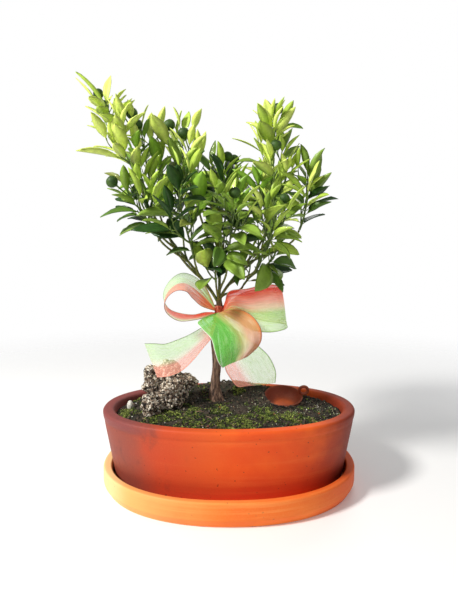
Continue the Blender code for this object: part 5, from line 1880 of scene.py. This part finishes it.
def stage():
    """A pale floor that fades out into the white background, soft lights and the photo's camera."""
    deselect()
    bpy.ops.mesh.primitive_plane_add(size=1, location=(0, 0, 0))
    floor = bpy.context.object
    floor.name = "pale_floor"
    floor.scale = (3, 3, 1)
    hold_still(floor)
    g = Graph("pale_paper")
    at = g.place()
    paper = g.mix(g.cloud(at, 3, 2), (0.90, 0.90, 0.90), (0.93, 0.93, 0.93))
    reach = g.node("ShaderNodeVectorMath", {"operation": "LENGTH"}, {0: at}, 1)
    fade = reach.rise(FLOOR_FADE, FLOOR_REACH)
    glow = {"Emission_Color": (1.0, 1.0, 1.0), "Emission_Strength": 0.08}
    floor.data.materials.append(g.finish(Base_Color=paper, Roughness=0.9, Alpha=fade, **glow))

    scene = bpy.context.scene
    camera = bpy.data.objects.new("camera", bpy.data.cameras.new("camera"))
    scene.collection.objects.link(camera)
    camera.location = CAMERA_AT
    camera.rotation_euler = (math.pi / 2 - CAMERA_PITCH, 0, 0)
    camera.data.sensor_width = SENSOR
    camera.data.lens = SENSOR * PHOTO_FOCAL / PHOTO_HEIGHT
    camera.data.clip_start = 0.01
    scene.camera = camera

    lamps = (
        ("key", (-0.95, -0.62, 1.10), 0.30, 25.0, (1.0, 0.98, 0.94)),
        ("fill", (0.9, -1.1, 0.45), 0.9, 1.6, (1.0, 1.0, 1.0)),
        ("back", (0.5, 1.1, 1.2), 0.8, 5.0, (1.0, 1.0, 1.0)),
    )
    for name, at, size, energy, colour in lamps:
        light = bpy.data.lights.new(name, "AREA")
        light.shape = "DISK"
        light.size = size
        light.energy = energy
        light.color = colour
        lamp = bpy.data.objects.new(name, light)
        lamp.location = at
        aim = Vector((0, 0, 0.2)) - Vector(at)
        lamp.rotation_euler = aim.to_track_quat("-Z", "Y").to_euler()
        scene.collection.objects.link(lamp)
    world = bpy.data.worlds.new("soft_sky")
    world.use_nodes = True
    nodes = world.node_tree.nodes
    sky = nodes["Background"]
    sky.inputs["Color"].default_value = (1.0, 1.0, 1.0, 1)
    sky.inputs["Strength"].default_value = 0.32
    white = nodes.new("ShaderNodeBackground")
    white.inputs["Color"].default_value = (1.0, 1.0, 1.0, 1)
    seen = nodes.new("ShaderNodeLightPath")
    either = nodes.new("ShaderNodeMixShader")
    links = world.node_tree.links
    links.new(seen.outputs["Is Camera Ray"], either.inputs[0])
    links.new(sky.outputs[0], either.inputs[1])
    links.new(white.outputs[0], either.inputs[2])
    links.new(either.outputs[0], nodes["World Output"].inputs[0])
    scene.world = world
    scene.view_settings.view_transform = "Standard"


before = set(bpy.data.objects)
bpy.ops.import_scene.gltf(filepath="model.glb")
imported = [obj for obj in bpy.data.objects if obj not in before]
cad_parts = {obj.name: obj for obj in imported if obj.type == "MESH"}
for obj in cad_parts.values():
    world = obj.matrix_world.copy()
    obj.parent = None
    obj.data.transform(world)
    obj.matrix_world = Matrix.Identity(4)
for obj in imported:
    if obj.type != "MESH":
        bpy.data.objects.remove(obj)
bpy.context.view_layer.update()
stage()
FINISH = {
    "clay": clay_finish(),
    "pale_clay": pale_clay_finish(),
    "dish": dish_finish(),
    "soil": soil_finish(),
    "crumb": crumb_finish(),
    "grit": grit_finish(),
    "litter": plain_finish("litter", (0.30, 0.20, 0.12), 0.8),
    "moss_dark": moss_finish("moss_dark", (0.012, 0.025, 0.006), (0.034, 0.066, 0.011)),
    "moss_green": moss_finish("moss_green", (0.042, 0.070, 0.011), (0.15, 0.18, 0.028)),
    "moss_bright": moss_finish("moss_bright", (0.17, 0.25, 0.036), (0.52, 0.60, 0.14)),
    "moss_pale": moss_finish("moss_pale", (0.40, 0.50, 0.20), (0.72, 0.76, 0.48)),
    "rock": rock_finish(),
    "bark": bark_finish(),
    "twig": twig_finish("twig_green", (0.060, 0.110, 0.020), (0.170, 0.250, 0.050)),
    "young_twig": twig_finish("young_twig", (0.140, 0.240, 0.030), (0.270, 0.390, 0.070)),
    "fruit": fruit_finish(),
    "knot": knot_finish(),
}
saucer()
pot()
soil()
soil_cover()
rock()
pebble()
dish()
paths = limb_paths()
wood(paths)
air = Space()
for solid in ("trunk", *[row[0] for row in BOUGHS], "ribbon_knot", *RIBBONS, "rock"):
    air.add_object(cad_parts[solid])
crown = grow_crown(paths, air)
foliage(crown)
ribbon_strips()
ribbon_knot()
